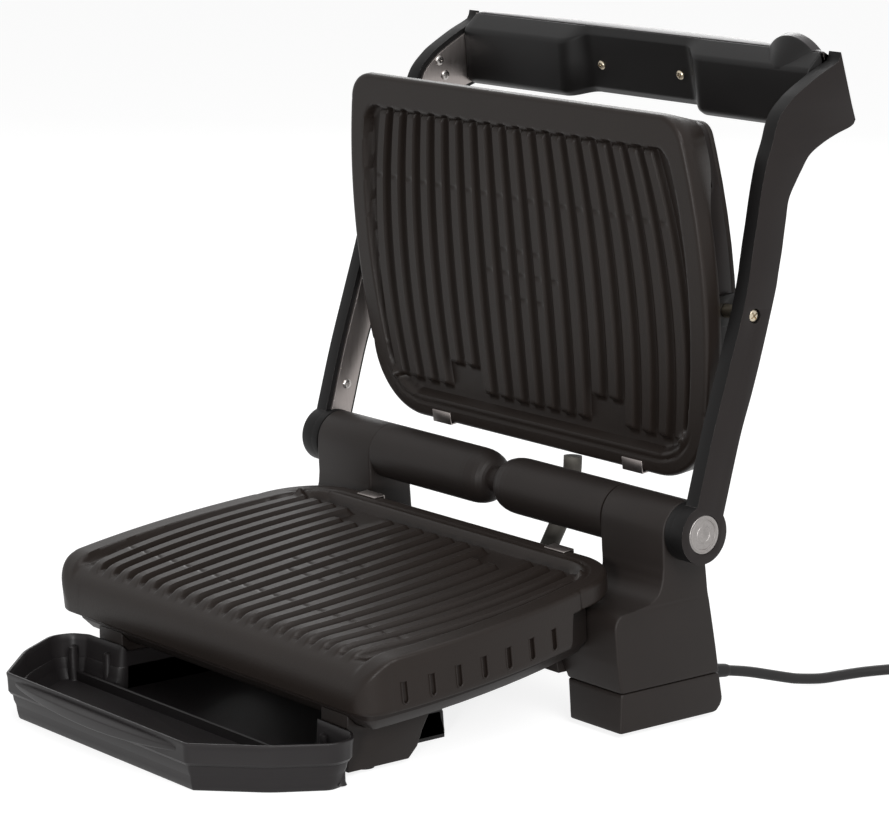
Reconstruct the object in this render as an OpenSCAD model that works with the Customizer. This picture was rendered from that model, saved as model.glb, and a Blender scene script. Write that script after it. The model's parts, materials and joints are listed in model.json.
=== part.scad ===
// Electric contact grill with a floating hinged lid, shown open.
// Working frame of every module: the hinge axis is the X axis, Y to the rear, Z up.
// seat() then moves each piece so that the origin is on the table under the middle of the grill.

/* [Overall] */
// Width over the two hinge bosses
overall_w = 365; // [345:1:385]
// Height of the hinge axis above the table
hinge_h = 118; // [112:1:126]
// Height of the rubber feet
foot_h = 3; // [2:0.5:5]
// Running gap between bodies that slide or turn past each other
run_gap = 0.4; // [0.3:0.05:0.6]
// Radial clearance of a shaft in its bush
shaft_gap = 0.05; // [0.02:0.01:0.1]

/* [Cooking plates] */
// Side clearance between a plate and the steel arm plates
plate_gap = 1.5; // [1.2:0.1:4]
// Length of the lower plate, rear edge to front face
lower_len = 203; // [190:1:215]
// Length of the upper plate, rear edge to front edge
upper_len = 222; // [210:1:235]
// Radius of the bowed long sides, seen from above
side_bow_r = 400; // [380:10:600]
// Radius of the rear corners
rear_corner_r = 45; // [30:1:60]
// Radius of the front corners
front_corner_r = 19; // [12:1:30]
// Width of the flat border round the ribs
border_w = 16; // [12:0.5:20]
// Depth of the ribbed well below the border
well_depth = 6; // [4:0.5:8]
// Wall of the castings
cast_wall = 3.4; // [2.6:0.2:4.4]
// Depth of the shallow skirt at the rear
skirt_low = 12; // [11.5:0.5:13]
// Depth of the tall skirt round the front of the lower plate
skirt_tall = 31.5; // [28:0.5:34]
// Depth of the tall skirt round the front of the upper plate
upper_skirt_tall = 25; // [20:0.5:28]
// Number of ribs on each plate
rib_count = 19; // [13:2:23]
// Width of a rib
rib_w = 6; // [4:0.2:8]
// Drop of the rib tops below the border
rib_drop = 1; // [0.5:0.1:2]
// Tilt of the lower plate down to the front, in degrees
lower_tilt = 6.5; // [4:0.5:8]
// Number of vent slots in each long side of the lower plate
vent_count = 7; // [4:1:8]
// Centre distance of the vent slots
vent_pitch = 17.9; // [15:0.1:19]

/* [Lid] */
// Forward lean of the open upper plate, in degrees
upper_lean = 6.7; // [5:0.1:8]
// Depth of the lid housing side wall behind the plate border
housing_depth = 31; // [29:0.5:34]
// Greatest depth of the lid from border to cover
lid_depth = 60; // [54:1:66]
// Wall of the plastic mouldings
wall = 2.5; // [2:0.1:3]
// Thickness of the sheet metal cover and reflectors
sheet_t = 1; // [0.8:0.1:1.4]
// Distance of the float pivot behind the hinge axis
pivot_y = 37.6; // [35:0.2:40]
// Height of the float pivot above the hinge axis
pivot_z = 124.4; // [118:0.2:130]
// Radius of the float pivot bolts
pivot_r = 4; // [3:0.1:5]

/* [Arms and handle] */
// Length of a hinge boss, from its outer face to the pillar
arm_t = 15.5; // [14:0.1:15.5]
// Thickness of an arm above its boss, cover and steel together
blade_t = 12.2; // [11.4:0.1:13]
// Inward set of the upper ends of the arms
arm_set = 11; // [8:0.5:11.5]
// Thickness of the steel arm plates
arm_steel_t = 2.2; // [1.5:0.1:3]
// Radius of the hinge bosses
boss_r = 17.65; // [16:0.05:19]
// Radius of the hinge shaft
shaft_r = 5; // [4:0.1:6]
// Outward bow of the control fascia at its middle
fascia_bow = 4; // [1:0.5:6]
// Thickness of the control fascia
fascia_t = 3; // [2.5:0.1:3.5]
// Half width of the finger recess in the handle
recess_half = 46; // [40:1:55]
// Radius of the indicator boss
indicator_r = 24; // [20:0.5:25]
// Travel of the handle keys
key_travel = 1; // [0.6:0.1:1.2]

/* [Base] */
// Radius of the round barrel between the pillars
barrel_r = 17.5; // [16:0.1:19]
// Radius of the narrow waist in the middle of the barrel
waist_r = 8; // [7:0.2:10]
// Height of the seam between pillar and pillar foot above the table
seam_h = 27; // [24:0.5:30]
// Width of a front leg
leg_w = 25; // [20:0.5:30]
// Distance of the front legs' outer faces inside the greatest width
leg_inset = 57.5; // [52.5:0.5:64.5]
// Travel of the plate release buttons
release_travel = 2.5; // [1.5:0.1:3]

/* [Drip tray] */
// Half width of the tray at its widest place
tray_half_w = 145; // [130:1:150]
// Half width of the straight front edge
tray_front_half = 94; // [80:1:105]
// Depth of the open tray in front of the legs
tray_len = 87; // [75:1:95]
// Depth of the chamfered front corners
tray_chamfer = 66; // [50:1:70]
// Height of the tray
tray_h = 29.5; // [24:0.5:32]
// Wall of the tray
tray_wall = 2; // [1.6:0.1:2.6]
// Length of the tray tongue that slides between the legs
tongue_len = 95; // [70:1:105]

/* [Mains lead] */
// Diameter of the mains lead
cord_d = 6.6; // [6:0.1:7.5]
// Diameter of the lid hose
hose_d = 11.5; // [9:0.5:13]

/* [Hidden] */
$fn = 64;
eps = 0.01;
// Gap between faces of one body that only lie together
seat_gap = 0.1;
half_w = overall_w / 2;
legs_half = half_w - leg_inset;
arm_in = half_w - arm_t;
pillar_x = arm_in - run_gap;
plate_half_w = arm_in - plate_gap;
table_z = -hinge_h;
pillar_bottom = table_z + foot_h;
seam_z = table_z + seam_h;
black = "#33302e";
cast_black = "#373430";
steel = "#b0aca6";

// Fore-and-aft extent used to centre the origin
pillar_front_y = -53.7;
rear_y = -29;
rear_z = -20.8;
leg_front_y = -216.5;
tray_rear_y = leg_front_y - run_gap;
tray_front_y = tray_rear_y - tray_len;
panel_top = [113.6, 271.6];
panel_bottom = [127.1, 230];
panel_vec = panel_bottom - panel_top;
panel_h = norm(panel_vec);
panel_turn = atan2(panel_vec[0], -panel_vec[1]);
panel_mid = (panel_top + panel_bottom) / 2;
handle_rear_y = panel_bottom[0] + fascia_bow * cos(panel_turn);
origin_y = -(tray_front_y + handle_rear_y) / 2;

module seat() { translate([0, origin_y, hinge_h]) children(); }
module both_sides() {
  children();
  mirror([1, 0, 0]) children();
}

// Points of an arc from angle a to angle b in n steps
function arc(c, r, a, b, n) = [for (i = [0:n]) c + r * [cos(a + (b - a) * i / n), sin(a + (b - a) * i / n)]];
// Cubic curve between p0 and p3
function bez(p0, p1, p2, p3, n) = [for (i = [1:n]) let (t = i / n, u = 1 - t)
  u * u * u * p0 + 3 * u * u * t * p1 + 3 * u * t * t * p2 + t * t * t * p3];
function flip_x(pts) = [for (i = [len(pts) - 1:-1:0]) [-pts[i][0], pts[i][1]]];

// Plate outline seen from above: y = 0 at the rear edge and negative to the front.
bow_c = [plate_half_w - side_bow_r, -118];
function corner_x(r, y) = bow_c[0] + sqrt(pow(side_bow_r - r, 2) - pow(y - bow_c[1], 2));
function half_outline(len, inset) =
  let (rr = max(rear_corner_r, inset + 2), fr = max(front_corner_r, inset + 2),
       rc = [corner_x(rr, -rr), -rr], fc = [corner_x(fr, fr - len), fr - len],
       ar = atan2(rc[1] - bow_c[1], rc[0] - bow_c[0]),
       af = atan2(fc[1] - bow_c[1], fc[0] - bow_c[0]))
  concat(arc(rc, rr - inset, 90, ar, 6),
         arc(bow_c, side_bow_r - inset, ar - 1.5, af + 1.5, 8),
         arc(fc, fr - inset, af, -90, 5));
// Half width of that outline at y, drawn in by inset
function side_at(inset, y) = y > -rear_corner_r
  ? corner_x(rear_corner_r, -rear_corner_r) + sqrt(pow(rear_corner_r - inset, 2) - pow(y + rear_corner_r, 2))
  : bow_c[0] + sqrt(pow(side_bow_r - inset, 2) - pow(y - bow_c[1], 2));
module outline(len, inset) {
  pts = half_outline(len, inset);
  polygon(concat(pts, flip_x(pts)));
}
module slab(len, inset, z0, z1) {
  translate([0, 0, z0]) linear_extrude(z1 - z0) outline(len, inset);
}

// Frames of the two plates. Z is zero on the border.
module lower_frame() { translate([0, rear_y, rear_z]) rotate([lower_tilt, 0, 0]) children(); }
upper_rear = [26.95, 19.1];
module upper_frame() { translate([0, upper_rear[0], upper_rear[1]]) rotate([upper_lean - 90, 0, 0]) children(); }

// Ribs are arcs that follow the bowed sides; the middle one is straight.
rib_half = plate_half_w - 26;
rib_mid = -95;
rib_bow_r = 357;
rib_top = -rib_drop;
module ribs(y_front, y_rear, z0, z1) {
  middle = (rib_count - 1) / 2;
  for (k = [-middle:middle]) {
    share = abs(k) / middle;
    x = rib_half * share;
    r = share == 0 ? 0 : rib_bow_r / share;
    translate([0, 0, z0]) linear_extrude(z1 - z0) {
      if (share == 0) translate([-rib_w / 2, y_front]) square([rib_w, y_rear - y_front]);
      else mirror([k < 0 ? 1 : 0, 0]) polygon(concat(
        arc([x - r, rib_mid], r + rib_w / 2, asin((y_rear - rib_mid) / r), asin((y_front - rib_mid) / r), 10),
        arc([x - r, rib_mid], r - rib_w / 2, asin((y_front - rib_mid) / r), asin((y_rear - rib_mid) / r), 10)));
    }
  }
}

// Side view of the lower casting: flat, then rolling over into the front face.
roll_r = 24;
module rolled_side(drop) {
  rotate([90, 0, 90]) translate([0, 0, -half_w]) linear_extrude(overall_w)
    polygon(concat([[1, -drop], [1, -60], [-lower_len - 1, -60]],
      arc([-lower_len + roll_r, -roll_r], roll_r - drop, 180, 90, 8)));
}
deep_from = -57;
rib_rear = -22;
module lower_plate() {
  color(cast_black) lower_frame() difference() {
    intersection() {
      union() {
        difference() {
          union() {
            slab(lower_len, 0, -skirt_low, 0);
            intersection() {
              slab(lower_len, 0, -skirt_tall, 0);
              translate([-half_w, -lower_len - 1, -60]) cube([overall_w, lower_len + 1 + deep_from, 60]);
            }
          }
          slab(lower_len, border_w, -well_depth, 1);
          translate([0, -lower_len, -well_depth])
            linear_extrude(well_depth + 1) square([2 * (plate_half_w - 26), 90], center = true);
        }
        intersection() {
          ribs(-lower_len + 2, rib_rear, -well_depth - 1, rib_top);
          rolled_side(rib_drop);
        }
      }
      rolled_side(0);
    }
    intersection() {
      slab(lower_len, cast_wall, -skirt_tall - 1, -well_depth - cast_wall);
      rolled_side(well_depth + cast_wall);
    }
    for (side = [-1, 1], i = [0:vent_count - 1])
      translate([side * plate_half_w, -71 - i * vent_pitch, -21.5]) cube([24, 4, 13], center = true);
  }
}

upper_deep_len = 46;
upper_deep_from = upper_deep_len - upper_len;
upper_taper = 7;
upper_front_border = 21;
module upper_plate() {
  color(cast_black) upper_frame() {
    difference() {
      union() {
        slab(upper_len, 0, 0, skirt_low);
        intersection() {
          hull() {
            slab(upper_len, 0, 0, skirt_low - 6);
            slab(upper_len, upper_taper, 0, upper_skirt_tall);
          }
          translate([-half_w, -upper_len - 1, 0]) cube([overall_w, upper_len + 1 + upper_deep_from, 60]);
        }
      }
      slab(upper_len, border_w, -1, well_depth);
      slab(upper_len, upper_taper + cast_wall, well_depth + cast_wall, 60);
      slab(upper_len, cast_wall + 2, well_depth + cast_wall, skirt_low + eps);
    }
    ribs(upper_front_border - upper_len, rib_rear, rib_drop, well_depth + 1);
  }
}

// Spring tabs that hold the rear edge of each plate
tab_x = plate_half_w - 74.5;
tab_w = 18;
tab_lip = 7;
module tab_pair(z0, z1, y0, y1) {
  both_sides() translate([tab_x - tab_w / 2, y0, z0]) cube([tab_w, y1 - y0, z1 - z0]);
}
module lower_plate_tabs() {
  color(steel) lower_frame() {
    tab_pair(-skirt_low - 6, 0.6, seat_gap, 1.1);
    tab_pair(seat_gap, 1.1, -tab_lip, 1.1);
  }
}
module upper_plate_tabs() {
  color(steel) upper_frame() {
    tab_pair(-0.6, skirt_low + 6, seat_gap, 1.1);
    tab_pair(-1.1, -seat_gap, -tab_lip, 1.1);
  }
}

// Tubular heater: a rounded loop with two legs to the rear
heater_r = 3.5;
heater_z = well_depth + cast_wall + heater_r + run_gap;
heater_inset = 53.5;
heater_w = plate_half_w - heater_inset;
heater_y0 = -62;
heater_bend_r = 30;
heater_tail_x = 18;
lower_heater_border = 31;
upper_heater_border = 50;
lower_heater_y = lower_heater_border - lower_len;
upper_heater_y = upper_heater_border - upper_len;
module heater(z, heater_y1) {
  bend = heater_bend_r;
  translate([0, 0, z]) {
    for (s = [-1, 1]) {
      translate([s * heater_w, heater_y0 - bend, 0]) rotate([90, 0, 0])
        cylinder(r = heater_r, h = heater_y0 - heater_y1 - 2 * bend);
      translate([s * (heater_w - bend), heater_y1 + bend, 0]) rotate([0, 0, s > 0 ? 270 : 180])
        rotate_extrude(angle = 90) translate([bend, 0]) circle(r = heater_r);
      translate([s * (heater_w - bend), heater_y0 - bend, 0]) rotate([0, 0, s > 0 ? 0 : 90])
        rotate_extrude(angle = 90) translate([bend, 0]) circle(r = heater_r);
      translate([s * (heater_w - bend), heater_y0, 0]) rotate([0, -s * 90, 0])
        cylinder(r = heater_r, h = heater_w - bend - heater_tail_x);
    }
    translate([-heater_w + bend, heater_y1, 0]) rotate([0, 90, 0])
      cylinder(r = heater_r, h = 2 * (heater_w - bend));
  }
}
module lower_heater() { color("#8d8882") lower_frame() heater(-heater_z, lower_heater_y); }
module upper_heater() { color("#8d8882") upper_frame() heater(heater_z, upper_heater_y); }

// Reflector pans
pan_z = 20;
pan_inset = 28;
module lower_reflector() {
  color("#a8a59f") lower_frame() difference() {
    slab(lower_len, pan_inset, -pan_z - 4, -pan_z + 2);
    slab(lower_len, pan_inset + sheet_t, -pan_z - 4 + sheet_t, -pan_z + 3);
    translate([-half_w, tub_rear - 10, -pan_z - 5]) cube([overall_w, 60, 12]);
  }
}
module upper_reflector() {
  z1 = housing_depth - wall - seat_gap;
  color("#a8a59f") upper_frame() difference() {
    slab(upper_len, pan_inset - 8, z1 - 6, z1);
    slab(upper_len, pan_inset - 8 + sheet_t, z1 - 7, z1 - sheet_t);
    translate([-half_w, -upper_len, 0]) cube([overall_w, upper_len + upper_deep_from + 1, 60]);
  }
}

// Base tub under the lower plate, with a rounded belly
tub_inset = 12;
tub_top = skirt_low + run_gap;
tub_depth = 48;
tub_len = lower_len + 3;
tub_rear = -24;
cover_t = 2;
module tub_body(grow, z1, floor_z = -tub_depth - cover_t) {
  hull() {
    slab(tub_len, tub_inset - grow, -38, z1);
    slab(tub_len, tub_inset + 5.7 - grow, -45 - grow, -44 - grow);
    slab(tub_len + 14.3, tub_inset + 27.4 - grow, floor_z - grow, floor_z + 1 - grow);
  }
}
module tub_front(shift, z0) {
  translate([-half_w, -lower_len, z0]) cube([overall_w, lower_len + tub_rear + shift, 90]);
}
tub_back_y = pillar_front_y - 0.5;
module behind_tub() { translate([-half_w, tub_back_y, -150]) cube([overall_w, 100, 200]); }
button_l = 14;
button_h = 13;
button_y = -46;
button_z = -23;
flange_over = 2;
lower_button_out = side_at(tub_inset, button_y);
lower_button_in = side_at(tub_inset + wall, button_y + button_l / 2 + flange_over) - run_gap;
module base_tub() {
  color(black) difference() {
    lower_frame() difference() {
      intersection() {
        tub_body(0, -tub_top);
        tub_front(0, -tub_depth);
        rolled_side(well_depth + cast_wall + 0.6);
      }
      difference() {
        intersection() {
          tub_body(-wall, 1, -tub_depth - 6);
          tub_front(-9, -tub_depth - 1);
        }
        // ledge that carries the reflector
        difference() {
          slab(tub_len, tub_inset, -pan_z - 4 - seat_gap - wall, -pan_z - 4 - seat_gap);
          slab(lower_len, pan_inset + 6, -60, 0);
          translate([-half_w, button_y - button_l, -60])
            cube([half_w - lower_button_in + 3 * wall, 2 * button_l, 60]);
        }
      }
      // window of the plate release
      translate([-half_w, button_y - button_l / 2, button_z - button_h / 2])
        cube([half_w - lower_button_in + wall, button_l, button_h]);
    }
    behind_tub();
  }
}
module base_bottom_cover() {
  color("#2b2927") difference() {
    lower_frame() intersection() {
      tub_body(0, -tub_top);
      tub_front(0, -tub_depth - 90 - seat_gap);
    }
    behind_tub();
  }
}

// A release button slides in its window; a flange inside keeps it in.
button_fit = 0.35;
flange_t = 2;
module release_button(out_x, in_x, window_l) {
  l = window_l - 2 * button_fit;
  h = button_h - 2 * button_fit;
  front_x = out_x + release_travel + 1.5;
  translate([-front_x, -l / 2, -h / 2]) cube([front_x - in_x + flange_t, l, h]);
  translate([-in_x, -l / 2 - flange_over, -h / 2]) cube([flange_t, l + 2 * flange_over, h]);
}
module lower_release() {
  color("#4a4644") lower_frame() translate([0, button_y, button_z])
    release_button(lower_button_out, lower_button_in, button_l);
}

// Pillars: side view of the moulding and its slanted inner face
foot_rear = 32;
pillar_front = [[-barrel_r, 0], [-16.5, -21], [-17.5, -30], [-21, -36.3], [-28.5, -40.9],
  [-45.4, -43.1], [-51.9, -45.6], [pillar_front_y, -51.1], [-48.5, -90.4], [-49.1, pillar_bottom]];
pillar_rear = [[25, pillar_bottom], [30.8, -111], [foot_rear, -107.5], [28.3, -85.9], [barrel_r, 0]];
module pillar_side() { polygon(concat(pillar_front, pillar_rear)); }
// Lengths along the hinge axis, measured from a pillar's outer face
pillar_len = 55.6;
bush_len = 28.6;
foot_w = 44.6;
cord_inset = 25.6;
barrel_end = pillar_x - pillar_len;
shaft_seat_x = pillar_x - bush_len;
inner_face = [[barrel_end + 1, -26], [pillar_x - foot_w - 7, -81], [pillar_x - foot_w - 3.6, -91.6]];
foot_in = pillar_x - foot_w;
pocket_front = -44;
pocket_w = 66;
pocket_h = 34;
bush_r = shaft_r + shaft_gap + 4;
module pillar_block() {
  intersection() {
    union() {
      rotate([90, 0, 90]) linear_extrude(pillar_x) pillar_side();
      rotate([0, 90, 0]) cylinder(r = boss_r, h = pillar_x);
    }
    rotate([90, 0, 0]) translate([0, 0, -60]) linear_extrude(120)
      polygon(concat([[barrel_end, 40], [barrel_end, -20]], inner_face,
        [[foot_in, table_z - 2], [pillar_x, table_z - 2], [pillar_x, 40]]));
  }
}
module pillar_above() { translate([0, -half_w, seam_z]) cube(overall_w); }
module pillar() {
  difference() {
    intersection() {
      pillar_block();
      pillar_above();
    }
    translate([shaft_seat_x, 0, 0]) rotate([0, 90, 0]) cylinder(r = bush_r, h = pillar_x);
    translate([barrel_end - 1, 0, 0]) rotate([0, 90, 0]) cylinder(r = 13, h = shaft_seat_x - barrel_end + 1);
    translate([foot_in, pocket_front, seam_z - 1]) cube([pillar_x - foot_in - wall, pocket_w, pocket_h]);
  }
}
module pillar_foot() {
  difference() {
    pillar_block();
    translate([0, -half_w, seam_z - seat_gap]) cube(overall_w);
    translate([foot_in + 6, pocket_front + 2, pillar_bottom + wall])
      cube([pillar_x - foot_in - 6 - wall, pocket_w - 4, seam_h]);
  }
}
cord_x = pillar_x - cord_inset;
cord_z = -98;
relief_r = 6;
module left_pillar() { color(black) mirror([1, 0, 0]) pillar(); }
module right_pillar() { color(black) pillar(); }
module left_pillar_foot() { color(black) mirror([1, 0, 0]) pillar_foot(); }
module right_pillar_foot() {
  color(black) difference() {
    pillar_foot();
    translate([cord_x, 0, cord_z]) rotate([-90, 0, 0]) cylinder(r = relief_r, h = 2 * foot_rear);
  }
}

// Bushes of the hinge and the round barrel between the pillars
module hinge_bushes() {
  color("#8f8a80") both_sides() translate([shaft_seat_x, 0, 0]) rotate([0, 90, 0]) difference() {
    cylinder(r = bush_r - 0.05, h = pillar_x - shaft_seat_x);
    translate([0, 0, -1]) cylinder(r = shaft_r + shaft_gap, h = 60);
  }
}
barrel_in = 21.7;
barrel_plug = 11;
module barrel() {
  rotate([90, 0, 90]) rotate_extrude() polygon(concat(
    [[0, seat_gap / 2], [waist_r, seat_gap / 2], [waist_r, 4.7]],
    bez([waist_r, 4.7], [13, 5], [barrel_r, 10], [barrel_r, barrel_in], 8),
    [[barrel_r, barrel_end - seat_gap], [barrel_r - wall, barrel_end - seat_gap],
     [barrel_r - wall, barrel_in], [waist_r, barrel_plug], [0, barrel_plug]]));
}
module left_barrel() { color(black) mirror([1, 0, 0]) barrel(); }
module right_barrel() { color(black) barrel(); }

// Rear housing under the barrel joins the pillars and takes the lid hose.
housing_top = -42;
housing_bottom = -88;
housing_rear = 20;
hose_x = 31;
hose_y = 15;
grommet_r = hose_d / 2 + 3;
housing_half = barrel_end + 7.5;
housing_low_half = pillar_x - 49.6;
module rear_housing_solid(w) {
  difference() {
    translate([0, tub_back_y + w, 0]) rotate([-90, 0, 0]) mirror([0, 1, 0]) linear_extrude(
      housing_rear - tub_back_y - 2 * w)
      polygon([[housing_half - w, housing_top - w], [w - housing_half, housing_top - w],
        [w - housing_low_half, housing_bottom + w], [housing_low_half - w, housing_bottom + w]]);
    both_sides() rotate([90, 0, 0]) translate([0, 0, -half_w]) linear_extrude(overall_w)
      polygon(concat([for (p = inner_face) [p[0] - w, p[1]]],
        [[half_w, inner_face[2][1]], [half_w, inner_face[0][1]]]));
  }
}
module rear_housing() {
  color(black) difference() {
    rear_housing_solid(seat_gap);
    rear_housing_solid(wall + seat_gap);
    translate([hose_x, hose_y - 5, housing_top - 2 * wall]) cylinder(r = grommet_r - 1.5, h = 3 * wall);
  }
}
module hose_grommet() {
  color("#1f1d1c") translate([hose_x, hose_y - 5, housing_top - seat_gap]) difference() {
    union() {
      cylinder(r = grommet_r, h = 2.5);
      translate([0, 0, -wall - 1]) cylinder(r = grommet_r - 1.6, h = wall + 1.1);
    }
    translate([0, 0, -8]) cylinder(r = hose_d / 2 + 0.1, h = 20);
  }
}

// Front legs stand under the tub just behind the drip tray.
leg_floor = pillar_bottom + wall;
leg_rear = [[-173, pillar_bottom], [-166.7, -108.7], [-163, -99.6], [-156.5, -88], [-156.5, -76]];
module leg() {
  difference() {
    rotate([90, 0, 90]) translate([0, 0, legs_half - leg_w]) linear_extrude(leg_w)
      polygon(concat([[leg_front_y, -76], [leg_front_y, pillar_bottom]], leg_rear));
    lower_frame() tub_body(seat_gap, -tub_top);
    rotate([90, 0, 90]) translate([0, 0, legs_half - leg_w + wall]) linear_extrude(leg_w - 2 * wall)
      polygon([[leg_front_y + wall, leg_floor], [leg_front_y + wall, -70], [-159.5, -70], [-159.5, -87],
        [-166, -99], [-170, -108], [-172, leg_floor]]);
  }
}
module left_front_leg() { color(black) mirror([1, 0, 0]) leg(); }
module right_front_leg() { color(black) leg(); }

pad_r = 7;
rear_pad = [pillar_x - 21.6, -12];
front_pad = [legs_half - leg_w / 2, -196];
module rubber_feet() {
  color("#1c1b1a") both_sides() for (p = [rear_pad, front_pad])
    translate([p[0], p[1], table_z]) cylinder(r1 = pad_r - 0.6, r2 = pad_r, h = foot_h);
}

module terminal_block() {
  color("#d9d4c6") translate([60, -20, housing_bottom + wall + 0.2]) cube([34, 22, 16]);
}

// Drip tray seen from above: chamfered front, shoulders in front of the legs, tongue between them.
tray_top = -88.5;
tray_floor_z = tray_top - tray_h;
tongue_half = legs_half - leg_w - 1;
tongue_drop = 6;
module tray_plan(w) {
  k = w * 0.45;
  polygon([[tray_front_half - k, tray_front_y + w], [tray_half_w - w, tray_front_y + tray_chamfer + k],
    [tray_half_w - 4 - w, tray_rear_y - 8 - w * 0.5], [tray_half_w - 12 - w, tray_rear_y - 2 - w],
    [tray_half_w - 23 - w, tray_rear_y - w], [-tray_half_w + 23 + w, tray_rear_y - w],
    [-tray_half_w + 12 + w, tray_rear_y - 2 - w], [-tray_half_w + 4 + w, tray_rear_y - 8 - w * 0.5],
    [-tray_half_w + w, tray_front_y + tray_chamfer + k], [-tray_front_half + k, tray_front_y + w]]);
}
module tongue_plan(w) {
  translate([-tongue_half + w, tray_rear_y - 20]) square([2 * (tongue_half - w), 20 + tongue_len - w]);
}
module tray_shell(w, lift) {
  hull() {
    translate([0, 0, -15.5]) linear_extrude(15.5 + lift) tray_plan(w);
    translate([0, 0, -tray_h + lift]) linear_extrude(1) tray_plan(w + 6);
  }
}
module tongue_shell(w, lift) {
  translate([0, 0, -tray_h + lift]) linear_extrude(tray_h - tongue_drop) tongue_plan(w);
}
module drip_tray() {
  color("#3d3b3c") translate([0, 0, tray_top]) difference() {
    union() {
      tray_shell(0, 0);
      tongue_shell(0, 0);
    }
    tray_shell(tray_wall, tray_wall);
    tongue_shell(tray_wall, tray_wall);
  }
}

// Lid arms: side view
arm_bend_low = [28.3, 128.8];
arm_bend_high = [47, 195];
module arm_side() {
  polygon(concat([[-17, 4.8], [-4.4, 21.5], arm_bend_low, [35.2, 157.6]],
    [arm_bend_high], bez(arm_bend_high, [51.5, 222], [66, 246], panel_top, 10),
    [panel_bottom], bez([124.5, 227.3], [96, 220], [76, 209], [69, 189], 8),
    [[60, 160], [53.8, 137.7], [44.8, 106.2], [36.8, 80.9], [27.6, 54.9], [17.2, 4]]));
}
// Front view: an arm rises straight, sets inward and rises straight again to the handle.
set_z0 = 150;
set_z1 = 228;
function arm_set_at(z) = arm_set * min(1, max(0, (z - set_z0) / (set_z1 - set_z0)));
function arm_face(d) = [for (z = [-40, set_z0, set_z1, 300]) [half_w - d - arm_set_at(z), z]];
module arm_layer(d0, d1) {
  outer = arm_face(d0);
  inner = arm_face(d1);
  intersection() {
    rotate([90, 0, 90]) translate([0, 0, half_w - 2 * blade_t - arm_set]) linear_extrude(3 * blade_t + arm_set)
      children();
    rotate([90, 0, 0]) translate([0, 0, -half_w]) linear_extrude(overall_w)
      polygon(concat(outer, [for (i = [3:-1:0]) inner[i]]));
  }
}
cap_r = 11.6;
cap_t = 1.5;
cover_t_in = blade_t - arm_steel_t;
cover_x = half_w - cover_t_in;
boss_bore_x = cover_x + 6;
plate_rim = 3;
module arm_cover() {
  difference() {
    union() {
      arm_layer(0, cover_t_in) arm_side();
      translate([arm_in, 0, 0]) rotate([0, 90, 0]) cylinder(r = boss_r, h = half_w - arm_in);
    }
    arm_layer(wall, cover_t_in + 1) offset(delta = -wall) arm_side();
    translate([arm_in - 1, 0, 0]) rotate([0, 90, 0]) cylinder(r = boss_r - wall, h = boss_bore_x - arm_in + 1);
    translate([half_w - cap_t - 0.1, 0, 0]) rotate([0, 90, 0]) cylinder(r = cap_r + 0.1, h = 5);
    translate([cover_x, 0, 0]) rotate([0, 90, 0]) cylinder(r = shaft_r + seat_gap, h = half_w - cover_x - cap_t);
    translate([half_w - 8, pivot_y, pivot_z]) rotate([0, 90, 0]) cylinder(r = pivot_r + 0.5, h = 20);
    // slot in the boss for the steel plate
    arm_layer(cover_t_in, arm_t + 1) offset(delta = seat_gap - plate_rim) arm_side();
  }
}
module left_arm_cover() { color(black) mirror([1, 0, 0]) arm_cover(); }
module right_arm_cover() { color(black) arm_cover(); }
module arm_plate() {
  plate_x = half_w - blade_t;
  difference() {
    union() {
      arm_layer(cover_t_in + seat_gap, blade_t) offset(delta = -plate_rim) arm_side();
      translate([plate_x, 0, 0]) rotate([0, 90, 0])
        cylinder(r = boss_r - wall - seat_gap, h = arm_steel_t - seat_gap);
    }
    translate([plate_x - 1, 0, 0]) rotate([0, 90, 0]) cylinder(r = shaft_r, h = 9);
    translate([plate_x - 1, pivot_y, pivot_z]) rotate([0, 90, 0]) cylinder(r = pivot_r, h = 9);
    for (p = arm_screw_pos) translate([plate_x - arm_set_at(p[1]) - 1, p[0], p[1]]) rotate([0, 90, 0])
      cylinder(r = screw_r + seat_gap, h = 9);
  }
}
module left_arm_plate() { color(steel) mirror([1, 0, 0]) arm_plate(); }
module right_arm_plate() { color(steel) arm_plate(); }
arm_screw_pos = [[78.8, 241.2], [84, 231.2], [10.1, 33.3]];
screw_r = 1.8;
screw_head_r = 3.2;
screw_head_t = 1;
module arm_screws() {
  color(steel) both_sides() for (p = arm_screw_pos)
    translate([half_w - blade_t - arm_set_at(p[1]), p[0], p[1]]) rotate([0, 90, 0]) {
      translate([0, 0, -screw_head_t]) cylinder(r = screw_head_r, h = screw_head_t);
      cylinder(r = screw_r, h = 7);
    }
}

// Hinge shafts turn with the arms
nut_t = 6;
module hinge_shaft() {
  color("#9a958f") both_sides() {
    translate([shaft_seat_x - nut_t - 4, 0, 0]) rotate([0, 90, 0])
      cylinder(r = shaft_r, h = half_w - cap_t - 0.5 - shaft_seat_x + nut_t + 4);
    translate([shaft_seat_x - nut_t - 0.8, 0, 0]) rotate([0, 90, 0]) cylinder(r = 9, h = nut_t, $fn = 6);
    translate([cover_x, 0, 0]) rotate([0, 90, 0]) cylinder(r = 9, h = 5);
  }
}
module hinge_caps() {
  color("#a29d9f") both_sides() translate([half_w - cap_t, 0, 0]) rotate([0, 90, 0]) difference() {
    cylinder(r = cap_r, h = cap_t);
    translate([0, 0, cap_t - 0.4]) difference() {
      cylinder(r = cap_r - 1.6, h = 1);
      translate([0, 0, -1]) cylinder(r = cap_r - 2.6, h = 3);
    }
  }
}
bolt_in = arm_in - 14;
module pivot_bolts() {
  color("#9a958f") both_sides() translate([bolt_in, pivot_y, pivot_z]) rotate([0, 90, 0]) {
    cylinder(r = pivot_r, h = half_w - 4 - bolt_in);
    translate([0, 0, cover_x - bolt_in]) cylinder(r = pivot_r + 3, h = 4);
  }
}

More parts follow.
